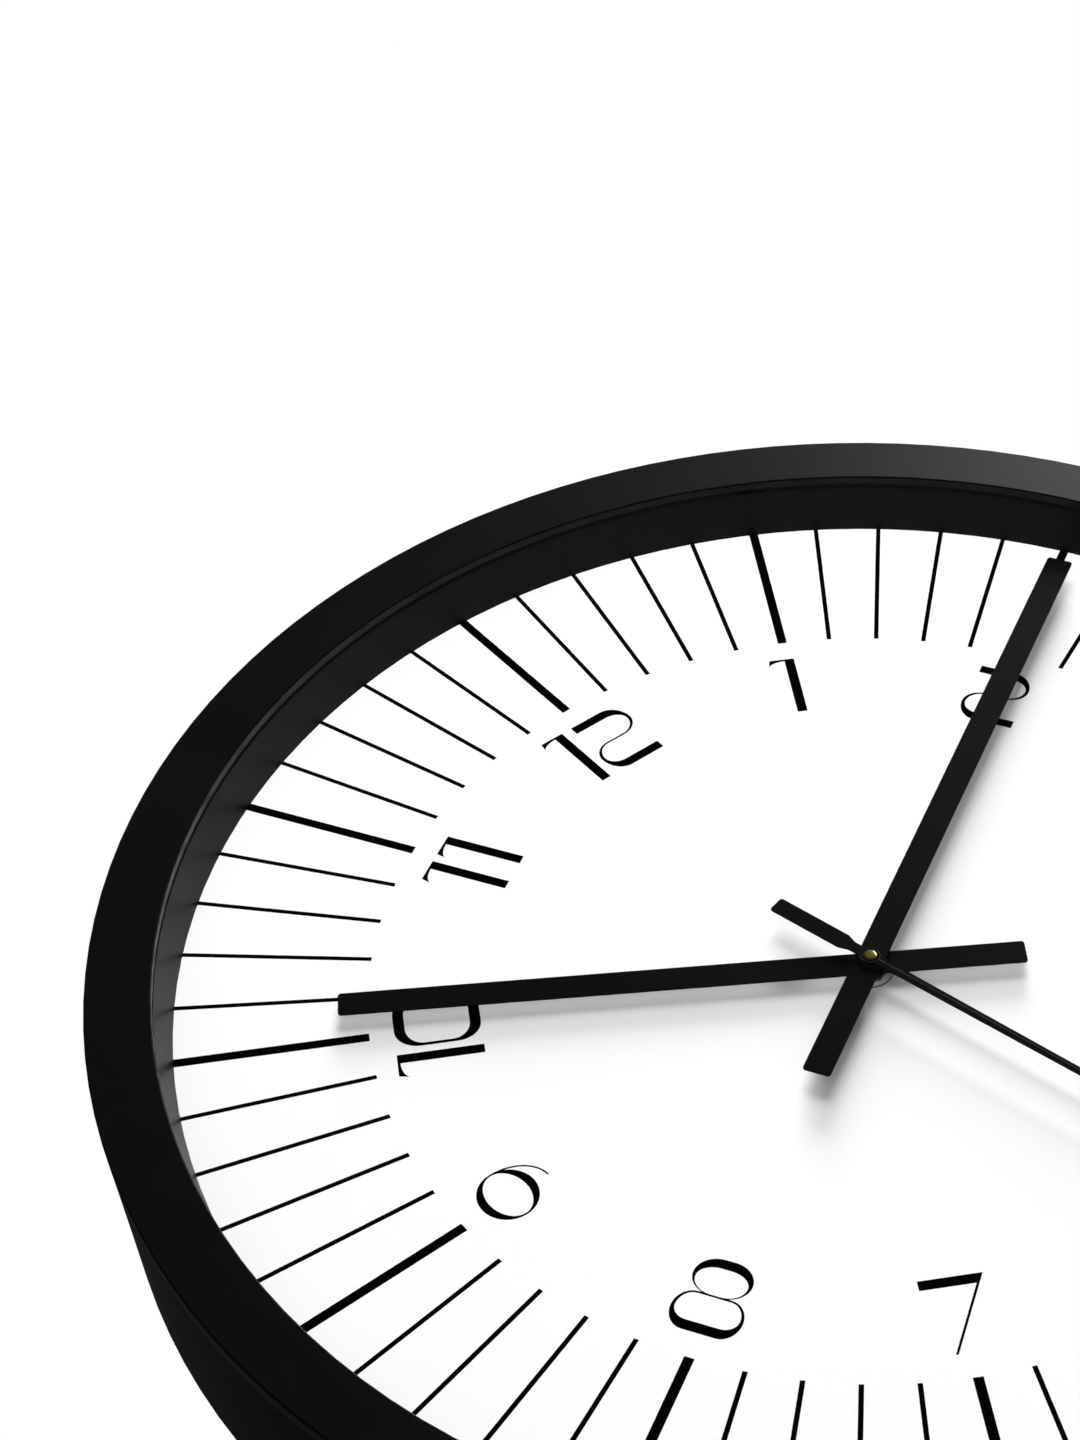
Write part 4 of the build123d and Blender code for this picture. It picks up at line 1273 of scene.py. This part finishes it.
@dataclass
class MovementMarks:
    """Raised signs on the movement's back and the grip ring on the setting knob.

    Attributes:
        rise: Height of the signs.
        sunk: Depth of their roots in the movement's case and in the knob.
        stroke: Width of their strokes.
        taper: Width of a sign's top as a share of its root.
        pole_arm: Length of half a pole sign.
        pole_place: How far the pole signs stand from the middle and above the cell.
        arrow_radius: Radius of the arrow round the knob's axis.
        arrow_start: Direction of the arrow's start, anticlockwise from 3 o'clock in degrees.
        arrow_turn: Angle that the arrow's shaft covers, in degrees.
        arrow_steps: Number of steps of the shaft.
        arrow_root: Length of the block that the shaft is spun from.
        head_starts: Distance from the shaft's end to the head's widest place, and on to its tip.
        head_widths: Width of the head there as a share of the shaft's, and of the tip as a share of it.
        grip_radii: Inner and outer radius of the ring on the knob.
        grip_rise: Its height.
        grip_edge: Its rounding.
    """

    rise: float = 0.25
    sunk: float = 0.05
    stroke: float = 0.8
    taper: float = 0.94
    pole_arm: float = 1.8
    pole_place: Pair = (22.6, 4.0)
    arrow_radius: float = 7.0
    arrow_start: float = 50.0
    arrow_turn: float = 75.0
    arrow_steps: int = 16
    arrow_root: float = 0.4
    head_starts: Pair = (0.2, 1.9)
    head_widths: Pair = (3.0, 0.06)
    grip_radii: Pair = (2.2, 3.0)
    grip_rise: float = 0.3
    grip_edge: float = 0.1

    def build(self) -> None:
        """Raise the signs."""
        self.level = heights("movement_rear_case")[0] - (self.rise - self.sunk) / 2
        aside, above = self.pole_place
        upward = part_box("battery_cell")[1].z / MM + above
        self.pole("pole_sign_plus", (aside, upward), (0, 90))
        self.pole("pole_sign_minus", (-aside, upward), (0,))
        self.arrow()
        self.grip_ring()

    def grip_ring(self) -> None:
        """Spin the raised ring on the knob's outer face."""
        face = heights("setting_knob")[0]
        raised = ring(self.grip_radii, face - self.grip_rise, face + self.sunk, self.grip_edge)
        raised.data.transform(Matrix.Translation((*middle("setting_knob"), 0)))
        finish_piece(settle(raised, BENCH, crease=50), "setting_knob_grip", Body.KNOB, GEAR_NATURAL,
                     "gear_natural")

    def pole(self, name: str, at: Point, turns: Iterable[float]) -> None:
        """Raise the strokes of a pole sign about a point.

        Args:
            name: Name of the sign.
            at: Its middle as seen from the front.
            turns: Turn of each stroke in degrees.
        """
        size = (2 * self.pole_arm, self.stroke, self.rise + self.sunk)
        about = (*at, self.level)
        strokes = []
        for turn in turns:
            stroke = block(size, about, turn)
            pick(stroke, (0, 0, -1))
            narrow((self.taper, self.taper, 1), about)
            strokes.append(stroke)
        sign = strokes[0]
        for stroke in strokes[1:]:
            work(sign, stroke, Operation.ADD)
        finish_piece(settle(sign, BENCH, crease=20), name, Body.CASE, MOVEMENT_BLACK, "movement_black")

    def arrow(self) -> None:
        """Spin the arrow's shaft round the knob and draw out its head."""
        size = (self.stroke, self.arrow_root, self.rise + self.sunk)
        arrow = block(size, (self.arrow_radius, 0, self.level))
        pick(arrow, (0, 1, 0))
        bpy.ops.mesh.spin(steps=self.arrow_steps, angle=math.radians(self.arrow_turn), center=(0, 0, 0),
                          axis=(0, 0, 1))
        at, ahead = front_of(arrow)
        for length, share in zip(self.head_starts, self.head_widths):
            at = at + ahead * length
            bpy.ops.mesh.extrude_region_move(TRANSFORM_OT_translate={"value": ahead * length})
            bpy.ops.transform.resize(value=(share, share, 1), center_override=at)
        bpy.ops.object.mode_set(mode="OBJECT")
        turn = Matrix.Rotation(math.radians(self.arrow_start), 4, "Z")
        arrow.data.transform(Matrix.Translation((*middle("setting_knob"), 0)) @ turn)
        arrow = settle(arrow, BENCH, crease=20)
        finish_piece(arrow, "setting_arrow", Body.CASE, MOVEMENT_BLACK, "movement_black")


# ---------------------------------------------------------------- numerals
class Pen:
    """Draws one closed outline of straight lines and elliptic arcs, in millimetres.

    Args:
        x: Sideways place of the outline's start.
        y: Height of its start.

    Attributes:
        touching: Points closer than this are one point.
        spare: Share of a quarter turn that an arc may have over without another step.
    """

    touching = 0.01
    spare = 0.001

    def __init__(self, x: float, y: float) -> None:
        """Start the outline at a point."""
        self.knots: list[list[Point]] = [[(x, y), (x, y), (x, y)]]

    def line(self, x: float, y: float) -> "Pen":
        """Go straight to a point."""
        self.knots.append([(x, y), (x, y), (x, y)])
        return self

    def arc(self, centre: Point, radii: Pair, start: float, end: float) -> "Pen":
        """Follow an elliptic arc, joined by a straight line where it starts elsewhere.

        Args:
            centre: Centre of the ellipse.
            radii: Half its width and half its height.
            start: First angle in degrees, anticlockwise from the right.
            end: Last angle in degrees.

        Returns:
            The pen.
        """
        steps = max(1, math.ceil(abs(end - start) / 90 - self.spare))
        step = math.radians(end - start) / steps
        pull = 4 / 3 * math.tan(step / 4)
        for number in range(steps + 1):
            angle = math.radians(start) + number * step
            x = centre[0] + radii[0] * math.cos(angle)
            y = centre[1] + radii[1] * math.sin(angle)
            along = (-radii[0] * math.sin(angle) * pull, radii[1] * math.cos(angle) * pull)
            before = (x - along[0], y - along[1]) if number else (x, y)
            after = (x + along[0], y + along[1]) if number < steps else (x, y)
            last = self.knots[-1]
            if number == 0 and math.dist(last[1], (x, y)) < self.touching:
                last[2] = after
            else:
                self.knots.append([before, (x, y), after])
        return self

    def rounded(self, sides: Pair, levels: Pair, wide: float, tall: Pair) -> "Pen":
        """Follow four quarter arcs round a frame, from the upper left one's top.

        Args:
            sides: Sideways place of the left and of the right arcs' centres.
            levels: Height of the lower and of the upper arcs' centres.
            wide: Half the width of each arc's ellipse.
            tall: Half the height of the lower and of the upper ellipses.

        Returns:
            The pen.
        """
        left, right = sides
        low, high = levels
        below, above = (wide, tall[0]), (wide, tall[1])
        self.arc((right, high), above, 90, 0).arc((right, low), below, 0, -90)
        return self.arc((left, low), below, -90, -180).arc((left, high), above, 180, 90)

    def closed(self) -> list[list[Point]]:
        """Knots of the outline, with the last one merged into the first where they meet.

        Returns:
            The knots, each with its handle before, its point and its handle after.
        """
        if math.dist(self.knots[0][1], self.knots[-1][1]) > self.touching:
            return self.knots
        return [[self.knots[-1][0], *self.knots[0][1:]], *self.knots[1:-1]]


@dataclass(frozen=True)
class NumeralStyle:
    """Sizes shared by the numerals, in millimetres.

    Attributes:
        height: Height of a numeral.
        width: Width of a round numeral.
        heavy: Thick stroke.
        hair: Thin stroke.
        side: Thinnest part of a round numeral's sides.
        gap: Space between the two digits of a number.
        bowl: Half the width of a round numeral's bowl.
        waist: Height of the thin stroke between two bowls.
        start: Where the top strokes of 2 and 3 start.
        one: Width of the 1.
        oval: Width of the 6 and of the 9.
        seven: Width of the 7.
        eight: Width of the 8.
    """

    height: float = 17.16
    width: float = 12.97
    heavy: float = 2.17
    hair: float = 0.4
    side: float = 0.75
    gap: float = 1.7
    bowl: float = 4.47
    waist: float = 8.58
    start: float = 0.76
    one: float = 5.93
    oval: float = 12.08
    seven: float = 12.36
    eight: float = 14.0


class Numerals:
    """Outlines of the ten digits; each drawing starts at x = 0 on the baseline.

    Args:
        style: Sizes shared by the digits.
    """

    def __init__(self, style: NumeralStyle) -> None:
        """Keep the style."""
        self.style = style

    def one(self) -> list[Pen]:
        """Heavy stem with a curved flag.

        Returns:
            Its outlines.
        """
        s = self.style
        stem = s.one - s.heavy
        flag_start, flag_bend, flag_rise = 0.47, s.height - 2.35, 1.8
        flag = Pen(stem, 0).line(s.one, 0).line(s.one, s.height).line(flag_start, s.height)
        flag.line(0, flag_bend).arc((stem, flag_bend), (stem, flag_rise), 180, 90)
        return [flag]

    def two(self) -> list[Pen]:
        """Heavy top and foot joined by a thin double curve.

        Returns:
            Its outlines.
        """
        s = self.style
        right, left = s.width - s.bowl, s.bowl - 0.4
        high, low = s.waist + s.hair / 2, s.waist - s.hair / 2
        upper, lower = 12.23, 4.93
        foot = s.width - 0.34
        pen = Pen(s.start, s.height)
        pen.arc((right, upper), (s.bowl, s.height - upper), 90, 0)
        pen.arc((right, upper), (s.bowl, upper - low), 0, -90)
        pen.arc((left, lower), (left - s.side, low - lower), 90, 180)
        pen.arc((left, lower), (left - s.side, lower - s.heavy), 180, 270)
        pen.line(foot, s.heavy).line(foot, 0)
        pen.arc((left, lower), (left, lower), 270, 180)
        pen.arc((left, lower), (left, high - lower), 180, 90)
        pen.arc((right, upper), (s.bowl - s.side, upper - high), -90, 0)
        pen.arc((right, upper), (s.bowl - s.side, s.height - s.heavy - upper), 0, 90)
        return [pen.line(s.start, s.height - s.heavy)]

    def three(self) -> list[Pen]:
        """Heavy top and foot with two bowls on the right and a thin middle.

        Returns:
            Its outlines.
        """
        s = self.style
        right, inner = s.width - s.bowl, s.bowl - s.side
        high, low = s.waist + s.hair / 2, s.waist - s.hair / 2
        upper, lower = 12.6, 4.93
        narrower, meeting = 0.5, 68
        foot, bar = 0.4, 4.2
        pen = Pen(s.start, s.height)
        pen.arc((right, upper), (s.bowl - narrower, s.height - upper), 90, 0)
        pen.arc((right, upper), (s.bowl - narrower, upper - high), 0, -meeting)
        pen.arc((right, lower), (s.bowl, high - lower), meeting, 0)
        pen.arc((right, lower), (s.bowl, lower), 0, -90)
        pen.line(foot, 0).line(foot, s.heavy)
        pen.arc((right, lower), (inner, lower - s.heavy), -90, 0)
        pen.arc((right, lower), (inner, low - lower), 0, 90)
        pen.line(bar, low).line(bar, high)
        pen.arc((right, upper), (inner - narrower, upper - high), -90, 0)
        pen.arc((right, upper), (inner - narrower, s.height - s.heavy - upper), 0, 90)
        return [pen.line(s.start, s.height - s.heavy)]

    def four(self) -> list[Pen]:
        """Heavy stem, thin diagonal and thin bar.

        Returns:
            Its outlines.
        """
        s = self.style
        stem, bar, corner = 8.3, 4.4, 0.9
        hole_left, hole_top = 0.75, s.height - 1.9
        pen = Pen(stem, 0).line(stem + s.heavy, 0).line(stem + s.heavy, bar).line(s.width, bar)
        pen.line(s.width, bar + s.hair).line(stem + s.heavy, bar + s.hair)
        pen.line(stem + s.heavy, s.height).line(stem + corner, s.height)
        pen.line(0, bar + s.hair).line(0, bar).line(stem, bar)
        return [pen, Pen(stem, bar + s.hair).line(hole_left, bar + s.hair).line(stem, hole_top)]

    def five(self) -> list[Pen]:
        """Heavy top, thin stem and middle, and a bowl with a heavy foot.

        Returns:
            Its outlines.
        """
        s = self.style
        right, inner = s.width - s.bowl, s.bowl - s.side
        high = s.waist + 1.2
        low, lower = high - s.hair, 5.2
        stem, top, foot = 1.0, 12.2, 0.3
        pen = Pen(stem, s.height).line(top, s.height).line(top, s.height - s.heavy)
        pen.line(stem + s.hair, s.height - s.heavy).line(stem + s.hair, high)
        pen.arc((right, lower), (s.bowl, high - lower), 90, 0)
        pen.arc((right, lower), (s.bowl, lower), 0, -90)
        pen.line(foot, 0).line(foot, s.heavy)
        pen.arc((right, lower), (inner, lower - s.heavy), -90, 0)
        pen.arc((right, lower), (inner, low - lower), 0, 90)
        return [pen.line(stem, low)]

    def nine(self) -> list[Pen]:
        """Wide oval with heavy top and bottom and a hair-thin tail.

        Returns:
            Its outlines.
        """
        s = self.style
        half, rise, hole_rise = s.oval / 2, 5.93, 4.15
        middle = (half, s.height - rise)
        tail, tail_leaves, tail_meets = (5.08, middle[1]), -19.62, -28.78
        pen = Pen(half, s.height).arc(middle, (half, rise), 90, 0).arc(tail, (7.0, 8.87), 0, -90)
        pen.arc(tail, (6.64, 8.51), -90, tail_leaves).arc(middle, (half, rise), tail_meets, -270)
        hole = Pen(half, middle[1] + hole_rise).arc(middle, (5.67, hole_rise), 90, -270)
        return [pen, hole]

    def six(self) -> list[Pen]:
        """The nine turned half a turn.

        Returns:
            Its outlines.
        """
        s = self.style
        pens = self.nine()
        for pen in pens:
            pen.knots = [[(s.oval - x, s.height - y) for x, y in knot] for knot in pen.knots]
        return pens

    def seven(self) -> list[Pen]:
        """Heavy bar with a thin slanted leg.

        Returns:
            Its outlines.
        """
        s = self.style
        foot_left, foot_right, corner = 3.6, 4.15, 10.75
        pen = Pen(0, s.height).line(s.seven, s.height).line(foot_right, 0).line(foot_left, 0)
        return [pen.line(corner, s.height - s.heavy).line(0, s.height - s.heavy)]

    def eight(self) -> list[Pen]:
        """Two wide ovals, heavy at the top and at the foot.

        Returns:
            Its outlines.
        """
        top, waist_angle = self.style.height, 71.4
        high, low, half_low = 12.9, 4.5, 3.7
        cap, side, foot = (4.8, top - high), (4.7, 4.2), (half_low, low)
        shoulder = (half_low, 4.37)
        outer = Pen(6.0, top)
        outer.arc((8.0, high), cap, 90, 0).arc((8.1, high), side, 0, -waist_angle)
        outer.arc((10.3, low), shoulder, 90, 0).arc((10.3, low), foot, 0, -90)
        outer.arc((half_low, low), foot, -90, -180).arc((half_low, low), shoulder, 180, 90)
        outer.arc((5.9, high), side, 180 + waist_angle, 180).arc((6.0, high), cap, 180, 90)
        upper = Pen(6.0, 15.07).rounded((6.0, 8.0), (12.2, 12.2), 4.1, (3.33, 2.87))
        lower = Pen(3.7, 8.46).rounded((3.7, 10.3), (4.85, 4.85), 3.0, (2.65, 3.61))
        return [outer, upper, lower]

    def zero(self) -> list[Pen]:
        """Tall rounded frame with heavy top and bottom.

        Returns:
            Its outlines.
        """
        s = self.style
        pens = []
        for side, heavy in ((0.0, 0.0), (0.7, s.heavy)):
            wide = 4.4 - side / 2
            tall = 5.0 - heavy / 1.6
            left, right = side + wide, s.width - side - wide
            bottom, top = heavy + tall, s.height - heavy - tall
            pen = Pen(left, s.height - heavy)
            pens.append(pen.rounded((left, right), (bottom, top), wide, (tall, tall)))
        return pens

    def digit(self, number: int) -> tuple[list[Pen], float]:
        """Outlines and width of a digit.

        Args:
            number: The digit.

        Returns:
            Its outlines and its width.
        """
        s = self.style
        drawings: dict[int, tuple[Callable[[], list[Pen]], float]] = {
            0: (self.zero, s.width),
            1: (self.one, s.one),
            2: (self.two, s.width),
            3: (self.three, s.width),
            4: (self.four, s.width),
            5: (self.five, s.width),
            6: (self.six, s.oval),
            7: (self.seven, s.seven),
            8: (self.eight, s.eight),
            9: (self.nine, s.oval),
        }
        draw, width = drawings[number]
        return draw(), width


@dataclass(frozen=True)
class NumeralPlace:
    """Where a number stands on the dial.

    Attributes:
        radius: Distance of its middle from the hands' axis, in millimetres.
        aside: How far its middle lies to the right of its hour line, in millimetres.
        foot_out: Whether its foot points outwards, as on the lower half of the dial.
    """

    radius: float = 86.1
    aside: float = -0.4
    foot_out: bool = False


@dataclass
class DialPrint:
    """Printed minute lines and numerals on the dial, in millimetres.

    Attributes:
        line_start: Inner radius of the minute lines.
        thin: Width of a minute line.
        thick: Width of a five-minute line.
        ink_height: Height of the ink above the dial.
        tuck: How far the lines end inside the outer edge of the sloped ring, which covers their ends.
        arc_steps: Number of steps of a numeral's quarter arc.
        seam: Points of a numeral closer than this are merged.
        places: Place of each number.
    """

    line_start: float = 100.0
    thin: float = 1.0
    thick: float = 2.0
    ink_height: float = 0.03
    tuck: float = 2.0
    arc_steps: int = 10
    seam: float = 0.002
    places: dict[int, NumeralPlace] = field(default_factory=lambda: {
        12: NumeralPlace(86.3, -0.8),
        1: NumeralPlace(86.0, -1.4),
        2: NumeralPlace(85.9, -0.3),
        3: NumeralPlace(),
        4: NumeralPlace(foot_out=True),
        5: NumeralPlace(foot_out=True),
        6: NumeralPlace(foot_out=True),
        7: NumeralPlace(86.0, -0.3, True),
        8: NumeralPlace(86.0, -0.5, True),
        9: NumeralPlace(86.6, 0.9),
        10: NumeralPlace(86.6, -1.3),
        11: NumeralPlace(86.4, -0.7),
    })

    def __post_init__(self) -> None:
        """Find the dial's face and the reach of the lines."""
        self.face_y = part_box("dial_plate")[0].y
        self.line_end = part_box("inner_ring")[1].x / MM - self.tuck

    def build(self) -> None:
        """Print the lines and the numbers."""
        self.lines("minute_lines", self.thin, [m for m in range(60) if m % 5])
        self.lines("five_minute_lines", self.thick, list(range(0, 60, 5)))
        digits = Numerals(NumeralStyle())
        for number, place in self.places.items():
            self.number(digits, number, place)

    def lines(self, name: str, width: float, minutes: Iterable[int]) -> None:
        """Print a set of radial lines.

        Args:
            name: Name of the piece.
            width: Width of a line in millimetres.
            minutes: Minutes that have a line.
        """
        length = self.line_end - self.line_start
        halfway = self.line_start + length / 2
        line = plate((width * MM, length * MM), (0, self.face_y, halfway * MM))
        bpy.ops.object.mode_set(mode="EDIT")
        bpy.ops.mesh.select_all(action="SELECT")
        bpy.ops.mesh.extrude_region_move(TRANSFORM_OT_translate={"value": (0, -self.ink_height * MM, 0)})
        bpy.ops.object.mode_set(mode="OBJECT")
        face_outwards(line)
        copies = [turned_copy(line, minute * DEGREES_PER_MINUTE) for minute in minutes]
        bpy.data.objects.remove(line)
        finish_piece(join(copies), name, Body.CASE, INK, "hand_black")

    def number(self, digits: Numerals, number: int, place: NumeralPlace) -> None:
        """Print one number.

        Args:
            digits: The digits' outlines.
            number: The hour.
            place: Its place.
        """
        curve = bpy.data.curves.new(f"numeral_{number}", "CURVE")
        curve.dimensions = "2D"
        curve.fill_mode = "BOTH"
        curve.extrude = self.ink_height * MM / 2
        curve.resolution_u = self.arc_steps
        drawn = [digits.digit(int(text)) for text in str(number)]
        total = sum(width for _, width in drawn) + digits.style.gap * (len(drawn) - 1)
        left = -total / 2
        for pens, width in drawn:
            for pen in pens:
                spline = curve.splines.new("BEZIER")
                knots = pen.closed()
                spline.bezier_points.add(len(knots) - 1)
                spline.use_cyclic_u = True
                for point, knot in zip(spline.bezier_points, knots):
                    point.handle_left_type = point.handle_right_type = "FREE"
                    point.handle_left, point.co, point.handle_right = (
                        ((left + x) * MM, (y - digits.style.height / 2) * MM, 0) for x, y in knot)
            left += width + digits.style.gap
        shape = bpy.data.objects.new(curve.name, curve)
        bpy.context.scene.collection.objects.link(shape)
        select_only(shape)
        bpy.ops.object.convert(target="MESH")
        shape = bpy.context.view_layer.objects.active
        face_outwards(shape, self.seam * MM)
        self.lay(shape, number * DEGREES_PER_HOUR, place)
        finish_piece(shape, f"numeral_{number}", Body.CASE, INK, "hand_black")

    def lay(self, shape: Piece, clock_angle: float, place: NumeralPlace) -> None:
        """Move a flat number from the drawing plane to the dial.

        Args:
            shape: The number's mesh, drawn upright about the origin.
            clock_angle: Direction of its hour line, in degrees clockwise from 12.
            place: Its place.
        """
        sign = -1 if place.foot_out else 1
        upright = Matrix.Rotation(math.pi / 2, 4, "X")
        flip = Matrix.Rotation(math.pi if place.foot_out else 0.0, 4, "Y")
        aside = Matrix.Translation((sign * place.aside * MM, 0, place.radius * MM))
        turn = Matrix.Rotation(math.radians(clock_angle), 4, "Y")
        forward = Matrix.Translation((0, self.face_y - self.ink_height * MM / 2, 0))
        shape.data.transform(forward @ turn @ aside @ flip @ upright)


# ---------------------------------------------------------------- studio
class PanelUse(Enum):
    """What a panel of the studio is hung for."""

    LIGHT = "light with shadows of the hands alone, without a reflection"
    SHINE = "reflection alone"
    BACK = "light and reflection on the back"


@dataclass(frozen=True)
class SoftPanel:
    """Large soft light that faces the frame's origin.

    Attributes:
        name: Name of the light.
        place: Its middle, in metres.
        size: Width and height in metres.
        power: Power in watts.
        use: What it is hung for.
    """

    name: str
    place: Triple
    size: Pair
    power: float
    use: PanelUse = PanelUse.LIGHT

    def build(self) -> Piece:
        """Hang the light.

        Returns:
            The light's object.
        """
        lamp = bpy.data.lights.new(self.name, "AREA")
        lamp.shape = "RECTANGLE"
        lamp.size, lamp.size_y = self.size
        lamp.energy = self.power
        holder = bpy.data.objects.new(self.name, lamp)
        holder.location = self.place
        holder.rotation_euler = (-Vector(self.place)).to_track_quat("-Z", "Y").to_euler()
        holder.visible_glossy = self.use is not PanelUse.LIGHT
        holder.visible_diffuse = self.use is not PanelUse.SHINE
        bpy.context.scene.collection.objects.link(holder)
        return holder


@dataclass
class Studio:
    """Pale floor, soft light and the camera.

    Attributes:
        floor_z: Height of the floor.
        floor_size: Length of its sides.
        camera_place: Place of the camera.
        camera_turn: Its turn about x, y and z, in degrees.
        sensor: Width of its sensor in millimetres.
        lens: Focal length in millimetres.
        shift: Sideways shift of the image on the sensor, as a share of its longer side.
        near: Nearest distance that the camera shows.
        soft_light: Strength of the surround for soft light.
        reflected_light: Strength of the surround in reflections.
        backdrop: Strength of the surround that the camera shows.
        floor_sun: Strength of the lamp over the floor.
        shadow_nodes: CAD nodes that cast the panels' shadows.
        panels: Soft lights.
    """

    floor_z: float = -1.6
    floor_size: float = 12.0
    camera_place: Triple = (-0.299498, -0.510353, -0.331778)
    camera_turn: Triple = (136.83163, 40.46055, -0.23245)
    sensor: float = 36.0
    lens: float = 82.117
    shift: float = -0.19048
    near: float = 0.01
    soft_light: float = 0.15
    reflected_light: float = 0.045
    backdrop: float = 1.0
    floor_sun: float = 3.2
    shadow_nodes: tuple[str, ...] = ("hour_hand", "minute_hand", "second_hand")
    panels: tuple[SoftPanel, ...] = (
        SoftPanel("front_panel", (-0.3, -2.6, 0.6), (3.0, 3.0), 5.0),
        SoftPanel("fill_panel", (-1.2, -2.2, -0.6), (1.6, 1.6), 2.0),
        SoftPanel("key_panel", (2.73, -2.65, 3.25), (2.7, 2.7), 272.0),
        SoftPanel("rake_panel", (3.79, -1.11, 4.52), (1.2, 2.6), 850.0),
        SoftPanel("accent_panel", (1.6, -0.9, 0.8), (1.0, 1.0), 17.0, PanelUse.SHINE),
        SoftPanel("back_panel", (1.9, 1.7, 1.0), (1.8, 1.8), 55.0, PanelUse.BACK),
    )

    def build(self) -> None:
        """Set up the whole studio."""
        self.floor()
        self.sky()
        self.lights()
        self.camera()

    def floor(self) -> None:
        """Lay the pale floor, which throws no light on the clock."""
        floor = added(bpy.ops.mesh.primitive_plane_add, size=self.floor_size, location=(0, 0, self.floor_z))
        floor.name = "studio_floor"
        STORE.dress(floor, FLOOR_PAINT)
        floor.visible_glossy = False
        floor.visible_diffuse = False
        self.floor_light(floor)

    def floor_light(self, floor: Piece) -> None:
        """Light the floor evenly with a lamp that reaches nothing else.

        Args:
            floor: The floor.
        """
        reached = bpy.data.collections.new("lit_floor")
        reached.objects.link(floor)
        lamp = bpy.data.lights.new("floor_light", "SUN")
        lamp.energy = self.floor_sun
        holder = bpy.data.objects.new("floor_light", lamp)
        holder.light_linking.receiver_collection = reached
        bpy.context.scene.collection.objects.link(holder)

    def sky(self) -> None:
        """White surround for the camera, and dimmer ones for soft light and for reflections."""
        world = bpy.data.worlds.new("studio_surround")
        bpy.context.scene.world = world
        world.use_nodes = True
        tree = world.node_tree
        tree.nodes.clear()
        path = tree.nodes.new("ShaderNodeLightPath")
        out = tree.nodes.new("ShaderNodeOutputWorld")
        shown = self.glow(tree, self.soft_light)
        for ray, strength in (("Is Glossy Ray", self.reflected_light), ("Is Camera Ray", self.backdrop)):
            mix = tree.nodes.new("ShaderNodeMixShader")
            tree.links.new(path.outputs[ray], mix.inputs["Fac"])
            tree.links.new(shown, mix.inputs[1])
            tree.links.new(self.glow(tree, strength), mix.inputs[2])
            shown = mix.outputs["Shader"]
        tree.links.new(shown, out.inputs["Surface"])

    def glow(self, tree: bpy.types.NodeTree, strength: float) -> Socket:
        """White background of a strength.

        Args:
            tree: Node tree of the surround.
            strength: The strength.

        Returns:
            The background's shader.
        """
        node = tree.nodes.new("ShaderNodeBackground")
        node.inputs["Color"].default_value = (1, 1, 1, 1)
        node.inputs["Strength"].default_value = strength
        return node.outputs["Background"]

    def lights(self) -> None:
        """Hang the soft panels; of those in front only the hands cast shadows."""
        casters = bpy.data.collections.new("shadow_casters")
        for name in self.shadow_nodes:
            casters.objects.link(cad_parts[name])
        for panel in self.panels:
            holder = panel.build()
            if panel.use is PanelUse.LIGHT:
                holder.light_linking.blocker_collection = casters

    def camera(self) -> None:
        """Place the camera."""
        lens = bpy.data.cameras.new("studio_camera")
        lens.lens = self.lens
        lens.shift_x = self.shift
        lens.sensor_width = self.sensor
        lens.clip_start = self.near
        holder = bpy.data.objects.new("studio_camera", lens)
        holder.location = self.camera_place
        holder.rotation_euler = Euler([math.radians(turn) for turn in self.camera_turn], "XYZ")
        bpy.context.scene.collection.objects.link(holder)
        bpy.context.scene.camera = holder
        bpy.context.scene.view_settings.view_transform = "Standard"


def main() -> None:
    """Dress the clock, print its dial and light the studio."""
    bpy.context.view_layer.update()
    for name, finish in NODE_FINISHES.items():
        STORE.dress(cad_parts[name], finish)
        log.info("node %s: %s", name, finish.name)
    for part in (DialPrint(), SecondHandTrim(), Fasteners(), Battery(), MovementMarks(), Studio()):
        part.build()


if __name__ == "__main__":
    main()
